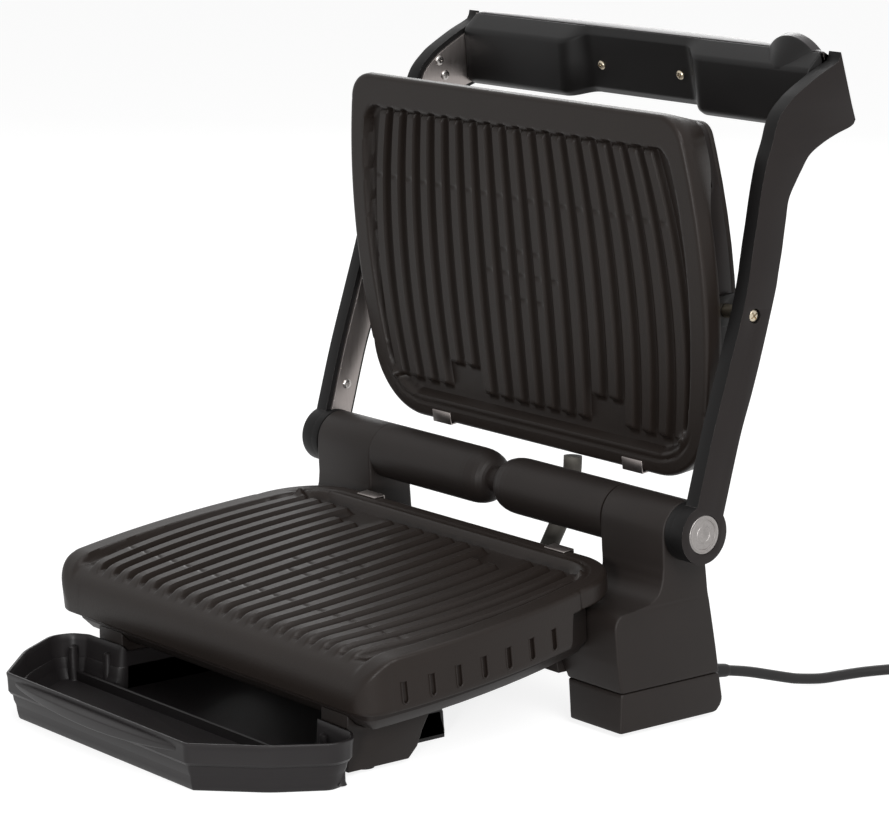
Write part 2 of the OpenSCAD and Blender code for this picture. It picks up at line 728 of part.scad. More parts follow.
// Handle bar. In its frame Y points out of the control face and Z up along it.
module handle_frame() { translate([0, panel_mid[0], panel_mid[1]]) rotate([panel_turn, 0, 0]) children(); }
half_panel = panel_h / 2;
bar_half = half_w - blade_t - arm_set - seat_gap;
bar_front = -fascia_t - seat_gap;
module bar_section(x0, x1, w) {
  rotate([90, 0, 90]) translate([0, 0, x0]) linear_extrude(x1 - x0)
    polygon([[bar_front + (w > 0 ? 1 : 0), half_panel - w], [-4 - w * 0.2, half_panel - w],
      [-17.2 + w, 15.7 - w], [-24 + w, -17 + w * 0.4], [-20 + w * 0.7, -half_panel + w],
      [bar_front + (w > 0 ? 1 : 0), -half_panel + w]]);
}
recess_far = recess_half + 20;
grip_screw_x = 35.7;
grip_screw_v = -7;
module grip_recess() {
  curve = bez([recess_far, -27], [recess_far - 9, -27], [recess_half + 5, -9], [recess_half, -9], 8);
  rotate([7.2, 0, 0]) translate([0, 0, -40]) linear_extrude(80)
    polygon(concat([[recess_far, -40], [recess_far, -27]], curve, flip_x(curve),
      [[-recess_far, -27], [-recess_far, -40]]));
}
module handle_shell() {
  color("#302d2b") handle_frame() difference() {
    union() {
      bar_section(-bar_half, bar_half, 0);
      translate([indicator_x, bar_front - 12, indicator_v]) rotate([-90, 0, 0])
        cylinder(r1 = indicator_r - 9, r2 = indicator_r, h = 12);
    }
    grip_recess();
    both_sides() bar_section(recess_far + 4, bar_half - wall, wall);
    translate([-recess_far - 10, bar_front - 3, -half_panel + 4]) cube([2 * recess_far + 20, 4, panel_h - 8]);
    both_sides() translate([grip_screw_x, -30, grip_screw_v]) rotate([-90, 0, 0]) cylinder(r = 3.2, h = 24.5);
  }
}
module handle_screws() {
  color("#8d8882") handle_frame() both_sides() translate([grip_screw_x, -9.5, grip_screw_v]) rotate([-90, 0, 0])
    cylinder(r = 2.9, h = 2.2);
}

// Control fascia with its indicator boss and key windows
fascia_r = (bar_half * bar_half) / (2 * fascia_bow) + fascia_bow / 2;
indicator_x = bar_half - 26;
indicator_v = half_panel + 8 - indicator_r;
key_w = 20;
key_h = 11;
key_gap = 0.35;
key_v = -2;
key_x = [for (step = [0, 28, 62, 90, 118, 146]) step + 24 - bar_half];
function bow_at(x) = fascia_bow - x * x / (2 * fascia_r);
module fascia_arc(d, n) {
  pts = [for (i = [-n:n]) let (x = (bar_half - d) * i / n) [x, bow_at(x) - d]];
  polygon(concat([[-bar_half + d, -fascia_t]], pts, [[bar_half - d, -fascia_t]]));
}
module control_fascia() {
  color("#39363a") handle_frame() difference() {
    union() {
      translate([0, 0, -half_panel]) linear_extrude(panel_h) fascia_arc(0, 12);
      translate([indicator_x, -fascia_t, indicator_v]) rotate([-90, 0, 0])
        cylinder(r = indicator_r, h = fascia_t + 3);
    }
    translate([0, -1, -half_panel + wall]) linear_extrude(panel_h - 2 * wall) fascia_arc(wall, 12);
    for (x = key_x) translate([x - key_w / 2, -5, key_v - key_h / 2]) cube([key_w, 20, key_h]);
    translate([indicator_x, 1.5, indicator_v]) rotate([-90, 0, 0]) cylinder(r = indicator_r - 5, h = 5);
  }
}
module indicator_lens() {
  color("#d8d4cf") handle_frame() translate([indicator_x, 1.6, indicator_v]) rotate([-90, 0, 0]) difference() {
    cylinder(r = indicator_r - 5.2, h = 1.2);
    translate([0, 0, -1]) cylinder(r = indicator_r - 11, h = 5);
  }
}
module control_board() {
  color("#2c5c3c") handle_frame() translate([-bar_half + 10, bar_front - 2.2, -14]) cube([2 * bar_half - 20, 1.6, 28]);
}
module key(i) {
  x = key_x[i];
  handle_frame() translate([x, 0, key_v]) {
    translate([-key_w / 2 + key_gap, -2.2, -key_h / 2 + key_gap])
      cube([key_w - 2 * key_gap, bow_at(x) + 2.4 + key_travel, key_h - 2 * key_gap]);
  }
}
module power_key() { color("#8a2a22") key(0); }
module frozen_key() { color("#45423f") key(1); }
module program_key_1() { color("#45423f") key(2); }
module program_key_2() { color("#45423f") key(3); }
module program_key_3() { color("#45423f") key(4); }
module program_key_4() { color("#45423f") key(5); }

// Lid housing behind the upper plate
lid_inset = 9;
pivot_s = [-103.3, 22.9];
module upper_housing() {
  edge = lid_inset + 1;
  color(black) difference() {
    upper_frame() difference() {
      slab(upper_len, edge, skirt_low + run_gap, housing_depth);
      slab(upper_len, edge + wall, skirt_low, housing_depth - wall);
      slab(upper_len, edge + 14, skirt_low, housing_depth + 1);
      intersection() {
        slab(upper_len + 2, -2, skirt_low, upper_skirt_tall + run_gap);
        translate([-half_w, -upper_len - 3, 0])
          cube([overall_w, upper_len + 3 + upper_deep_from + run_gap, 60]);
      }
      translate([-half_w, up_button_y - up_button_l / 2, up_button_z - button_h / 2])
        cube([half_w - upper_button_in + wall, up_button_l, button_h]);
    }
    both_sides() translate([bolt_in - 20, pivot_y, pivot_z]) rotate([0, 90, 0]) cylinder(r = pivot_r + 1, h = 80);
  }
}
up_button_l = 22;
up_button_y = 69 - upper_len;
up_button_z = 21.5;
upper_button_out = side_at(lid_inset + 1, up_button_y);
up_flange_y = up_button_l / 2 + flange_over;
upper_button_in = min([for (s = [-1, 1]) side_at(lid_inset + 1 + wall, up_button_y + s * up_flange_y)]) - run_gap;
module upper_release() {
  color("#4a4644") upper_frame() translate([0, up_button_y, up_button_z])
    release_button(upper_button_out, upper_button_in, up_button_l);
}
module dome(g) {
  hull() {
    slab(upper_len, lid_inset + 1 + g, housing_depth + seat_gap - g, housing_depth + 3 - g);
    slab(upper_len, lid_inset + 15 + g, lid_depth - 16 - g, lid_depth - 15 - g);
    slab(upper_len, lid_inset + 31 + g, lid_depth - 6 - g, lid_depth - 5 - g);
    slab(upper_len, lid_inset + 59 + g, lid_depth - 2 - g, lid_depth - g);
  }
}
module lid_cover() {
  color("#8f8b89") upper_frame() difference() {
    dome(0);
    dome(sheet_t);
  }
}
module pivot_brackets() {
  x0 = plate_half_w - lid_inset - 0.6;
  color(steel) both_sides() difference() {
    upper_frame() translate([x0, pivot_s[0] - 9, pivot_s[1] - 9]) cube([2.6, 18, 16]);
    translate([bolt_in - 20, pivot_y, pivot_z]) rotate([0, 90, 0]) cylinder(r = pivot_r + shaft_gap, h = 80);
  }
}

// Mains lead: one smooth tube along hand-placed points, then a loose coil with the plug beside it
cord_route = [[141, 31, -98], [141.3, 38, -98.1], [142, 45, -98.6], [142.9, 52.5, -99.4], [144, 60, -100.6],
  [145.4, 68.5, -102.2], [147, 77, -104.2], [148.5, 85, -106.4], [150, 93, -108.6], [151.5, 100.5, -110.6],
  [153, 108, -112.3], [156, 124, -114.4], [158.5, 140, -114.7], [162.5, 158, -114.7],
  [169.5, 176, -114.7], [178.5, 195, -114.7], [187.5, 214.5, -114.7], [194.8, 234, -114.7], [198.6, 251, -114.7]];
hose_route = [[32, 30, 17], [32, 29.5, 8], [31.5, 28, -2], [31, 25.5, -12], [31, 21, -22], [31, 15, -32],
  [31, 10.5, -40], [31, 10, -46]];
function unit(v) = v / norm(v);
module tube(pts, r, sides) {
  n = len(pts);
  dirs = [for (i = [0:n - 1]) unit(pts[min(i + 1, n - 1)] - pts[max(i - 1, 0)])];
  rings = [for (i = [0:n - 1]) let (a = unit(cross(dirs[i], [1, 0, 0.1])), b = cross(dirs[i], a))
    for (k = [0:sides - 1]) pts[i] + r * (cos(360 * k / sides) * a + sin(360 * k / sides) * b)];
  quads = [for (i = [0:n - 2], k = [0:sides - 1])
    [i * sides + k, i * sides + (k + 1) % sides, (i + 1) * sides + (k + 1) % sides, (i + 1) * sides + k]];
  caps = [[for (k = [sides - 1:-1:0]) k], [for (k = [0:sides - 1]) (n - 1) * sides + k]];
  polyhedron(rings, concat(quads, caps), convexity = 6);
}
module power_cord() { color("#1d1b1a") tube(cord_route, cord_d / 2, 10); }
module lid_hose() { color("#4e4b46") tube(hose_route, hose_d / 2, 16); }
relief_len = 24;
module strain_relief() {
  color("#1f1d1c") translate([cord_x, foot_rear - 8, cord_z]) rotate([-90, 0, 0]) difference() {
    union() {
      cylinder(r = relief_r - seat_gap, h = 9);
      translate([0, 0, 9]) cylinder(r1 = relief_r - 0.5, r2 = cord_d / 2 + 0.9, h = relief_len);
    }
    translate([0, 0, -1]) cylinder(r = cord_d / 2, h = 60);
  }
}
coil_at = [160, 262];
coil_r = 36;
coil_w = 2 * cord_d + 0.6;
module cord_coil() {
  color("#1d1b1a") translate([coil_at[0], coil_at[1], table_z + 0.1])
    rotate_extrude() translate([coil_r - coil_w / 2, 0]) square([coil_w, 2 * cord_d]);
}
plug_at = [coil_at[0] - 41, coil_at[1] + coil_r + cord_d / 2, table_z + 10];
plug_r = 9.9;
plug_l = 26;
tail_l = 22;
pin_l = 17;
pin_pitch = 12.7;
module plug_body() {
  color("#1f1d1c") translate(plug_at) rotate([0, -90, 0]) {
    cylinder(r = plug_r, h = plug_l);
    translate([0, 0, -tail_l]) cylinder(r1 = cord_d / 2 + 0.7, r2 = plug_r - 1.4, h = tail_l);
  }
}
module plug_pins() {
  color("#b8b2a6") for (s = [-1, 1])
    translate(plug_at + [-plug_l - pin_l, s * pin_pitch / 2 - 0.75, -3.2]) cube([pin_l, 1.5, 6.3]);
}

seat() base_tub();
seat() base_bottom_cover();
seat() rear_housing();
seat() left_pillar();
seat() right_pillar();
seat() left_pillar_foot();
seat() right_pillar_foot();
seat() left_front_leg();
seat() right_front_leg();
seat() rubber_feet();
seat() left_barrel();
seat() right_barrel();
seat() hinge_bushes();
seat() lower_plate();
seat() lower_heater();
seat() lower_reflector();
seat() lower_plate_tabs();
seat() terminal_block();
seat() strain_relief();
seat() hose_grommet();
seat() power_cord();
seat() cord_coil();
seat() plug_body();
seat() plug_pins();
seat() lid_hose();
seat() lower_release();
seat() drip_tray();
seat() left_arm_cover();
seat() right_arm_cover();
seat() left_arm_plate();
seat() right_arm_plate();
seat() arm_screws();
seat() hinge_shaft();
seat() hinge_caps();
seat() pivot_bolts();
seat() handle_shell();
seat() handle_screws();
seat() control_fascia();
seat() control_board();
seat() indicator_lens();
seat() power_key();
seat() frozen_key();
seat() program_key_1();
seat() program_key_2();
seat() program_key_3();
seat() program_key_4();
seat() upper_housing();
seat() lid_cover();
seat() upper_plate();
seat() upper_heater();
seat() upper_reflector();
seat() upper_plate_tabs();
seat() pivot_brackets();
seat() upper_release();
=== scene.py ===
"""Electric contact grill with a floating hinged lid, dressed over its CAD frame."""
import json
import math
import bpy
import bmesh
import numpy as np
from mathutils import Matrix, Vector

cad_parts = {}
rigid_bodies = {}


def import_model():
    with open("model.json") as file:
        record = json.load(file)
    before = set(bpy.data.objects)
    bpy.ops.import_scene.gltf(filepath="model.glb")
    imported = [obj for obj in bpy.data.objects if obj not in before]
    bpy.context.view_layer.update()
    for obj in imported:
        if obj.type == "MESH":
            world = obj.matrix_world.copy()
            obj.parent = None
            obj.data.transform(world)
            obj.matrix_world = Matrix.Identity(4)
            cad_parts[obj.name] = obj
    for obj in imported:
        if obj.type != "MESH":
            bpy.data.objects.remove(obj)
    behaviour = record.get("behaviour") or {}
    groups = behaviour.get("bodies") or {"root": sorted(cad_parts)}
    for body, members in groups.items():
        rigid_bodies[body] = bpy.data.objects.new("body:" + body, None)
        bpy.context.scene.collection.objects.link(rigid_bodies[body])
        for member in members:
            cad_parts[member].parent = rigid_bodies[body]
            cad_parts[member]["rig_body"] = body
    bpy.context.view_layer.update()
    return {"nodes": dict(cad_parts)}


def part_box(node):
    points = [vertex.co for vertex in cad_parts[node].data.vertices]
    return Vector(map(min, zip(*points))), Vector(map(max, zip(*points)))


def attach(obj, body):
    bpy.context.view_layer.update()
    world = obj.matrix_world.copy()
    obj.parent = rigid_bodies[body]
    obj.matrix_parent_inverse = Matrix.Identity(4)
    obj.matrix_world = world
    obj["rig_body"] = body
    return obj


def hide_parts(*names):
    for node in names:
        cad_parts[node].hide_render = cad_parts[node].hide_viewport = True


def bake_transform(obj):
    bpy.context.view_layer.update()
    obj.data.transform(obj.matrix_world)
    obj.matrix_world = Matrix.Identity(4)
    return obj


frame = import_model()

bl_info = {
    "name": "Contact Grill",
    "version": (1, 0, 0),
    "blender": (4, 5, 0),
    "location": "View3D > Sidebar > Grill",
    "description": "Builds the pieces, finishes and stage of an electric contact grill",
    "category": "Add Mesh",
}

NODES = frame["nodes"]
MM = 0.001


def centre_of(node):
    """Middle of a CAD node's box, in metres."""
    low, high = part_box(node)
    return (low + high) / 2


# The hinge axis: every size below is in millimetres from it, y to the rear and z up.
HINGE = centre_of("hinge_shaft")
FLOOR_Z = -HINGE.z / MM

# Frames of the two plates: the border's rear edge and its tilt about X
LOWER_AT, LOWER_TILT = (0.0, -29.0, -20.8), 6.5
UPPER_AT, UPPER_TILT = (0.0, 26.95, 19.1), -83.3
# Control face: how far it runs back and up, its middle and its lean
PANEL_RUN, PANEL_RISE = 13.5, 41.6
PANEL_AT, PANEL_TILT = (0.0, 120.35, 250.8), math.degrees(math.atan2(PANEL_RUN, PANEL_RISE))
# Pivot that the upper plate's housing hangs from
FLOAT_PIVOT = (0.0, 37.6, 124.4)


def size(name):
    """A size that the user can change, in millimetres."""
    return round(getattr(bpy.context.scene.grill_sizes, name) / MM, 4)


def placed(points, at=(0, 0, 0), tilt=0.0):
    """Points in millimetres in a frame that is turned about X, as row-frame metres."""
    turn, points = math.radians(tilt), np.asarray(points, float)
    c, s = math.cos(turn), math.sin(turn)
    x, y, z = points[:, 0], points[:, 1], points[:, 2]
    moved = np.stack([x + at[0], c * y - s * z + at[1], s * y + c * z + at[2]], 1)
    return moved * MM + np.array(HINGE)


def smooth(value, start, end):
    """Runs smoothly from 0 at start to 1 at end."""
    t = np.clip((np.asarray(value, float) - start) / (end - start), 0, 1)
    return t * t * (3 - 2 * t)


# ---------------------------------------------------------------- colour and finishes

def linear(hex_colour):
    """An sRGB hex colour as linear RGBA."""
    parts = [int(hex_colour[i:i + 2], 16) / 255 for i in (1, 3, 5)]
    return [p / 12.92 if p <= 0.04045 else ((p + 0.055) / 1.055) ** 2.4 for p in parts] + [1.0]


def add_node(tree, kind, inputs=None, links=None, **settings):
    """Adds a node to a tree with its settings, its socket values and its links."""
    made = tree.nodes.new(kind)
    for name, value in settings.items():
        setattr(made, name, value)
    for name, value in (inputs or {}).items():
        made.inputs[name].default_value = value
    for name, source in (links or {}).items():
        tree.links.new(source, made.inputs[name])
    return made


def new_finish(name, roughness, **sockets):
    """A material with its Principled shader and the piece's own coordinates in metres."""
    made = bpy.data.materials.new(name)
    made.use_nodes = True
    tree = made.node_tree
    tree.nodes.clear()
    shader = add_node(tree, "ShaderNodeBsdfPrincipled", {"Roughness": roughness, **sockets})
    add_node(tree, "ShaderNodeOutputMaterial", links={"Surface": shader.outputs[0]})
    place = add_node(tree, "ShaderNodeTexCoord")
    return made, tree, shader, place.outputs["Object"]


def tone(value):
    """Linear RGBA of an sRGB hex colour or of a colour property."""
    return linear(value) if isinstance(value, str) else list(value)


def two_tones(tree, shader, pattern, dark, pale):
    """Base colour drifts between two near tones after a pattern."""
    tones = add_node(tree, "ShaderNodeMix", {6: tone(dark), 7: tone(pale)}, {0: pattern}, data_type="RGBA")
    tree.links.new(tones.outputs[2], shader.inputs["Base Color"])


def mottled(tree, shader, place, dark, pale, size_mm):
    """Two near tones in patches of the given size."""
    patches = add_node(tree, "ShaderNodeTexNoise", {"Scale": 1 / (size_mm * MM), "Detail": 3.0},
                       {"Vector": place})
    two_tones(tree, shader, patches.outputs["Fac"], dark, pale)


def roughened(tree, shader, source, low, high):
    """Roughness follows a pattern between two values."""
    spread = add_node(tree, "ShaderNodeMapRange", {"To Min": low, "To Max": high}, {"Value": source})
    tree.links.new(spread.outputs["Result"], shader.inputs["Roughness"])


def bumped(tree, shader, source, height_mm, strength=1.0):
    """Relief of a real height in millimetres."""
    relief = add_node(tree, "ShaderNodeBump", {"Strength": strength, "Distance": height_mm * MM},
                      {"Height": source})
    tree.links.new(relief.outputs["Normal"], shader.inputs["Normal"])


def moulded(name, dark, pale, roughness, grain_mm=0.6, height_mm=0.03, specular=0.25):
    """Injection-moulded ABS or PBT with a spark-eroded grain: a soft, slightly uneven sheen."""
    made, tree, shader, place = new_finish(name, roughness, **{"IOR": 1.5, "Specular IOR Level": specular})
    mottled(tree, shader, place, dark, pale, 28)
    grain = add_node(tree, "ShaderNodeTexNoise", {"Scale": 1 / (grain_mm * MM), "Detail": 2.0},
                     {"Vector": place})
    roughened(tree, shader, grain.outputs["Fac"], roughness - 0.06, roughness + 0.06)
    bumped(tree, shader, grain.outputs["Fac"], height_mm)
    return made


def brushed(name, dark, pale, roughness, across=(1.0, 1.0, 0.03), grain_mm=0.5):
    """Sheet steel brushed one way: long fine scratches that stretch its highlights."""
    made, tree, shader, place = new_finish(name, roughness, Metallic=1.0)
    stretch = add_node(tree, "ShaderNodeMapping", {"Scale": across}, {"Vector": place})
    lines = add_node(tree, "ShaderNodeTexNoise", {"Scale": 1 / (grain_mm * MM), "Detail": 4.0},
                     {"Vector": stretch.outputs[0]})
    two_tones(tree, shader, lines.outputs["Fac"], dark, pale)
    roughened(tree, shader, lines.outputs["Fac"], roughness - 0.08, roughness + 0.1)
    bumped(tree, shader, lines.outputs["Fac"], 0.01)
    return made


def coated_casting(dark, pale):
    """Die-cast aluminium under sprayed black PTFE: warm near-black, low sheen, a faint orange peel."""
    made, tree, shader, place = new_finish("nonstick_ptfe_coating", 0.4,
                                           **{"IOR": 1.38, "Specular IOR Level": 0.3})
    mottled(tree, shader, place, dark, pale, 35)
    peel = add_node(tree, "ShaderNodeTexNoise", {"Scale": 1 / (1.6 * MM), "Detail": 3.0}, {"Vector": place})
    speck = add_node(tree, "ShaderNodeTexVoronoi", {"Scale": 1 / (0.9 * MM)}, {"Vector": place})
    both = add_node(tree, "ShaderNodeMath", links={0: peel.outputs["Fac"], 1: speck.outputs["Distance"]},
                    operation="ADD")
    roughened(tree, shader, peel.outputs["Fac"], 0.36, 0.48)
    bumped(tree, shader, both.outputs[0], 0.035)
    return made


def make_finishes(colours):
    """All finishes of the grill, named for the real material and how it was made."""
    even = (1.0, 1.0, 1.0)
    return {
        # warm black with a soft even sheen from its eroded grain
        "base": moulded("abs_black_spark_eroded", colours.housing_dark, colours.housing_pale, 0.5,
                        specular=0.2),
        # slightly smoother black: a faint streak of light down each arm
        "arm": moulded("pbt_black_satin", colours.arm_dark, colours.arm_pale, 0.44, specular=0.2),
        # the arms' narrow sides and the hinge bosses: painted shade, a darker copy of the arm black standing
        # in for the little light that reaches faces turned away from the lamps
        "arm_painted_shade": moulded("pbt_black_painted_shade", "#0b0a0a", "#100f0f", 0.5, specular=0.16),
        # painted highlight: a thin pale line along the arms' rounded corners, standing in for the edge lamp's
        # reflection
        "arm_painted_highlight": moulded("pbt_black_painted_highlight", "#5d5754", "#69625f", 0.32, 2.0, 0.004, 0.5),
        # deeper black than the arms, with soft broad highlights
        "handle": moulded("pbt_black_handle", colours.handle_dark, colours.handle_pale, 0.42, specular=0.2),
        # smoother and a little cooler, so that the panel stands out from its bar
        "fascia": moulded("abs_fascia_satin", "#242122", "#2a2728", 0.36, specular=0.4),
        # waxy black with a faint shine on its rim
        "tray": moulded("pp_black_tray", colours.tray_dark, colours.tray_pale, 0.42, specular=0.24),
        # dark grey that sets the keys off from the panel
        "button": moulded("abs_dark_grey_key", colours.key_dark, colours.key_pale, 0.42),
        # the one red accent
        "power": moulded("abs_red_key", colours.power_dark, colours.power_pale, 0.38),
        # dull, slightly dusty black
        "rubber": moulded("nbr_black_rubber", "#141313", "#1a1918", 0.75, 1.2, 0.05, 0.2),
        # soft black with a dim line of light along it
        "lead": moulded("pvc_black_lead", "#151414", "#1b1a1a", 0.55, 1.5, 0.04, 0.3),
        # dull warm grey
        "hose": moulded("silicone_sleeve_grey", "#4c4944", "#5a5650", 0.6, 1.0, 0.05, 0.3),
        # cream, like a ceramic
        "terminal": moulded("pbt_cream_terminal", "#c9c4b4", "#d8d3c4", 0.5),
        # green laminate under lacquer
        "board": moulded("fr4_green_board", "#1f4b31", "#2a5c3d", 0.4),
        # thin black film over pressed steel: flat, with a tight highlight
        "painted": moulded("steel_black_e_coat", "#121110", "#171615", 0.42, 2.0, 0.01, 0.25),
        # milky and bright, as if lit from behind
        "lens": moulded("acrylic_milky_ring", "#cfcbc6", "#dbd7d2", 0.25, 2.0, 0.01, 0.5),
        "coating": coated_casting(colours.plate_dark, colours.plate_pale),
        # warm grey with fine upright scratches
        "steel": brushed("stainless_brushed_plate", colours.steel_dark, colours.steel_pale, 0.34,
                         (1.0, 1.0, 0.04)),
        # darker, with long scratches across the lid
        "lid_metal": brushed("stainless_brushed_lid", colours.lid_dark, colours.lid_pale, 0.36,
                             (0.04, 1.0, 1.0)),
        # bluish grey, bright on its edges
        "turned": brushed("zinc_plated_turned", "#9c9895", "#b5b1ae", 0.3, even, 0.8),
        # pale beige with a trace of yellow
        "zinc": brushed("zinc_yellow_passivated", "#b3a894", "#cbc0ab", 0.32, even, 0.8),
        # dark and matt from heat
        "heater": brushed("incoloy_heater_sheath", "#6f6a66", "#807b76", 0.45, even, 1.0),
        # light grey with soft rolled lines
        "foil": brushed("aluminised_sheet_pan", "#a9a6a1", "#b9b6b0", 0.4, (1.0, 0.1, 1.0)),
        # dull brown-gold, slightly porous
        "bronze": brushed("sintered_bronze_bush", "#7e6a44", "#92794d", 0.4, even, 1.0),
        # smooth straw grey
        "brass": brushed("nickel_brass_pin", "#b0a88f", "#c4bca2", 0.25, (0.05, 1.0, 1.0)),
        # fine matt silver
        "cap": brushed("satin_chrome_cap", colours.cap_dark, colours.cap_pale, 0.42, even, 1.1),
    }


FINISH = {}


# ---------------------------------------------------------------- mesh helpers

def make_piece(name, verts, faces, body, finish, sharp=40.0, stands_for=(), merge=0.00001):
    """A closed piece from row-frame vertices: cleaned, its faces outward, finished and set on its body."""
    mesh = bpy.data.meshes.new(name)
    mesh.from_pydata([tuple(v) for v in verts], [], [tuple(f) for f in faces])
    mesh.validate()
    cleaned(mesh, merge, 0, True)
    made = bpy.data.objects.new(name, mesh)
    bpy.context.scene.collection.objects.link(made)
    return finish_piece(made, body, finish, sharp, stands_for)


def finish_piece(made, body, finish, sharp=38.0, stands_for=()):
    """Shades a piece, gives it its material and its body, and hides the solids it stands for."""
    mesh = made.data
    if finish:
        mesh.materials.clear()
        mesh.materials.append(FINISH[finish])
    mesh.shade_smooth()
    mesh.set_sharp_from_angle(angle=math.radians(sharp))
    if body:
        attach(made, body)
    if stands_for:
        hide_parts(*stands_for)
    return made


def cleaned(mesh, merge=0.00001, flat=0.4, outward=False):
    """Merges doubled vertices, dissolves cuts across flat faces and turns a closed skin's faces outward."""
    work = bmesh.new()
    work.from_mesh(mesh)
    bmesh.ops.remove_doubles(work, verts=work.verts, dist=merge)
    if flat:
        bmesh.ops.dissolve_limit(work, angle_limit=math.radians(flat), verts=work.verts, edges=work.edges)
    if outward:
        bmesh.ops.recalc_face_normals(work, faces=work.faces)
        if work.calc_volume(signed=True) < 0:
            bmesh.ops.reverse_faces(work, faces=work.faces)
    work.to_mesh(mesh)
    work.free()


def round_edges(made, round_mm, segments, angle, slot=-1):
    """Rounds every edge sharper than the angle; slot is the material of the rounding."""
    bevel = made.modifiers.new("edge", "BEVEL")
    bevel.width, bevel.segments, bevel.material = round_mm * MM, segments, slot
    bevel.limit_method, bevel.angle_limit = "ANGLE", math.radians(angle)
    bake_modifiers(made)


def rounded_solid(node, name, finish, round_mm):
    """The CAD solid with its moulded edges rounded."""
    source = NODES[node]
    made = bpy.data.objects.new(name, source.data.copy())
    bpy.context.scene.collection.objects.link(made)
    cleaned(made.data)
    round_edges(made, round_mm, 2, 32)
    return finish_piece(made, source["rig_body"], finish, 40, (node,))


def bake_modifiers(made):
    """Turns an object's modifiers into its mesh."""
    ready = bpy.data.meshes.new_from_object(made.evaluated_get(bpy.context.evaluated_depsgraph_get()))
    made.modifiers.clear()
    old, made.data = made.data, ready
    bpy.data.meshes.remove(old)


# Faces of a block whose corners run round its lower end, then round its upper end
BLOCK = [(0, 1, 2, 3), (7, 6, 5, 4), (0, 4, 5, 1), (1, 5, 6, 2), (2, 6, 7, 3), (3, 7, 4, 0)]


def cut_out(made, tools):
    """Cuts the tool pieces out of a piece, and removes them."""
    for tool in tools:
        cut = made.modifiers.new("cut", "BOOLEAN")
        cut.object, cut.operation, cut.solver = tool, "DIFFERENCE", "EXACT"
    bake_modifiers(made)
    for tool in tools:
        bpy.data.objects.remove(tool)


def joined(parts):
    """Several shapes, each as points and faces, as one."""
    points, faces = [], []
    for more, quads in parts:
        start = len(points)
        points += list(more)
        faces += [tuple(start + k for k in quad) for quad in quads]
    return points, faces


def skinned(rings):
    """Joins rings of equal count into a closed skin."""
    n = len(rings[0])
    faces = [(i * n + k, i * n + (k + 1) % n, (i + 1) * n + (k + 1) % n, (i + 1) * n + k)
             for i in range(len(rings) - 1) for k in range(n)]
    faces += [tuple(range(n - 1, -1, -1)), tuple((len(rings) - 1) * n + k for k in range(n))]
    return [p for ring in rings for p in ring], faces


def revolved(profile, steps=72):
    """A lathe shape about the first axis: profile of (along, radius), as points and faces."""
    n = len(profile)
    points = [(x, r * math.cos(a), r * math.sin(a))
              for a in np.linspace(0, 2 * math.pi, steps, endpoint=False) for x, r in profile]
    faces = [(i * n + k, i * n + k + 1, ((i + 1) % steps) * n + k + 1, ((i + 1) % steps) * n + k)
             for i in range(steps) for k in range(n - 1)]
    return points, faces


def filleted(corners, steps=6):
    """A closed outline with round corners, always with the same number of points."""
    ring = []
    count = len(corners)
    for i, (x, y, radius) in enumerate(corners):
        here = np.array((x, y), float)
        before = np.array(corners[i - 1][:2], float) - here
        after = np.array(corners[(i + 1) % count][:2], float) - here
        lb, la = np.linalg.norm(before), np.linalg.norm(after)
        before, after = before / lb, after / la
        half = math.acos(max(-1, min(1, float(before @ after)))) / 2
        reach = min(radius / math.tan(half), 0.49 * lb, 0.49 * la)
        radius = reach * math.tan(half)
        middle = before + after
        size = np.linalg.norm(middle)
        if size < 1e-6:
            ring += [tuple(here + before * reach * (1 - k / steps) + after * reach * k / steps)
                     for k in range(steps + 1)]
            continue
        centre = here + middle / size * (radius / math.sin(half))
        start, end = here + before * reach - centre, here + after * reach - centre
        a0 = math.atan2(start[1], start[0])
        sweep = (math.atan2(end[1], end[0]) - a0 + math.pi) % (2 * math.pi) - math.pi
        ring += [tuple(centre + radius * np.array((math.cos(a0 + sweep * k / steps),
                                                   math.sin(a0 + sweep * k / steps))))
                 for k in range(steps + 1)]
    return ring


# ---------------------------------------------------------------- cooking plates

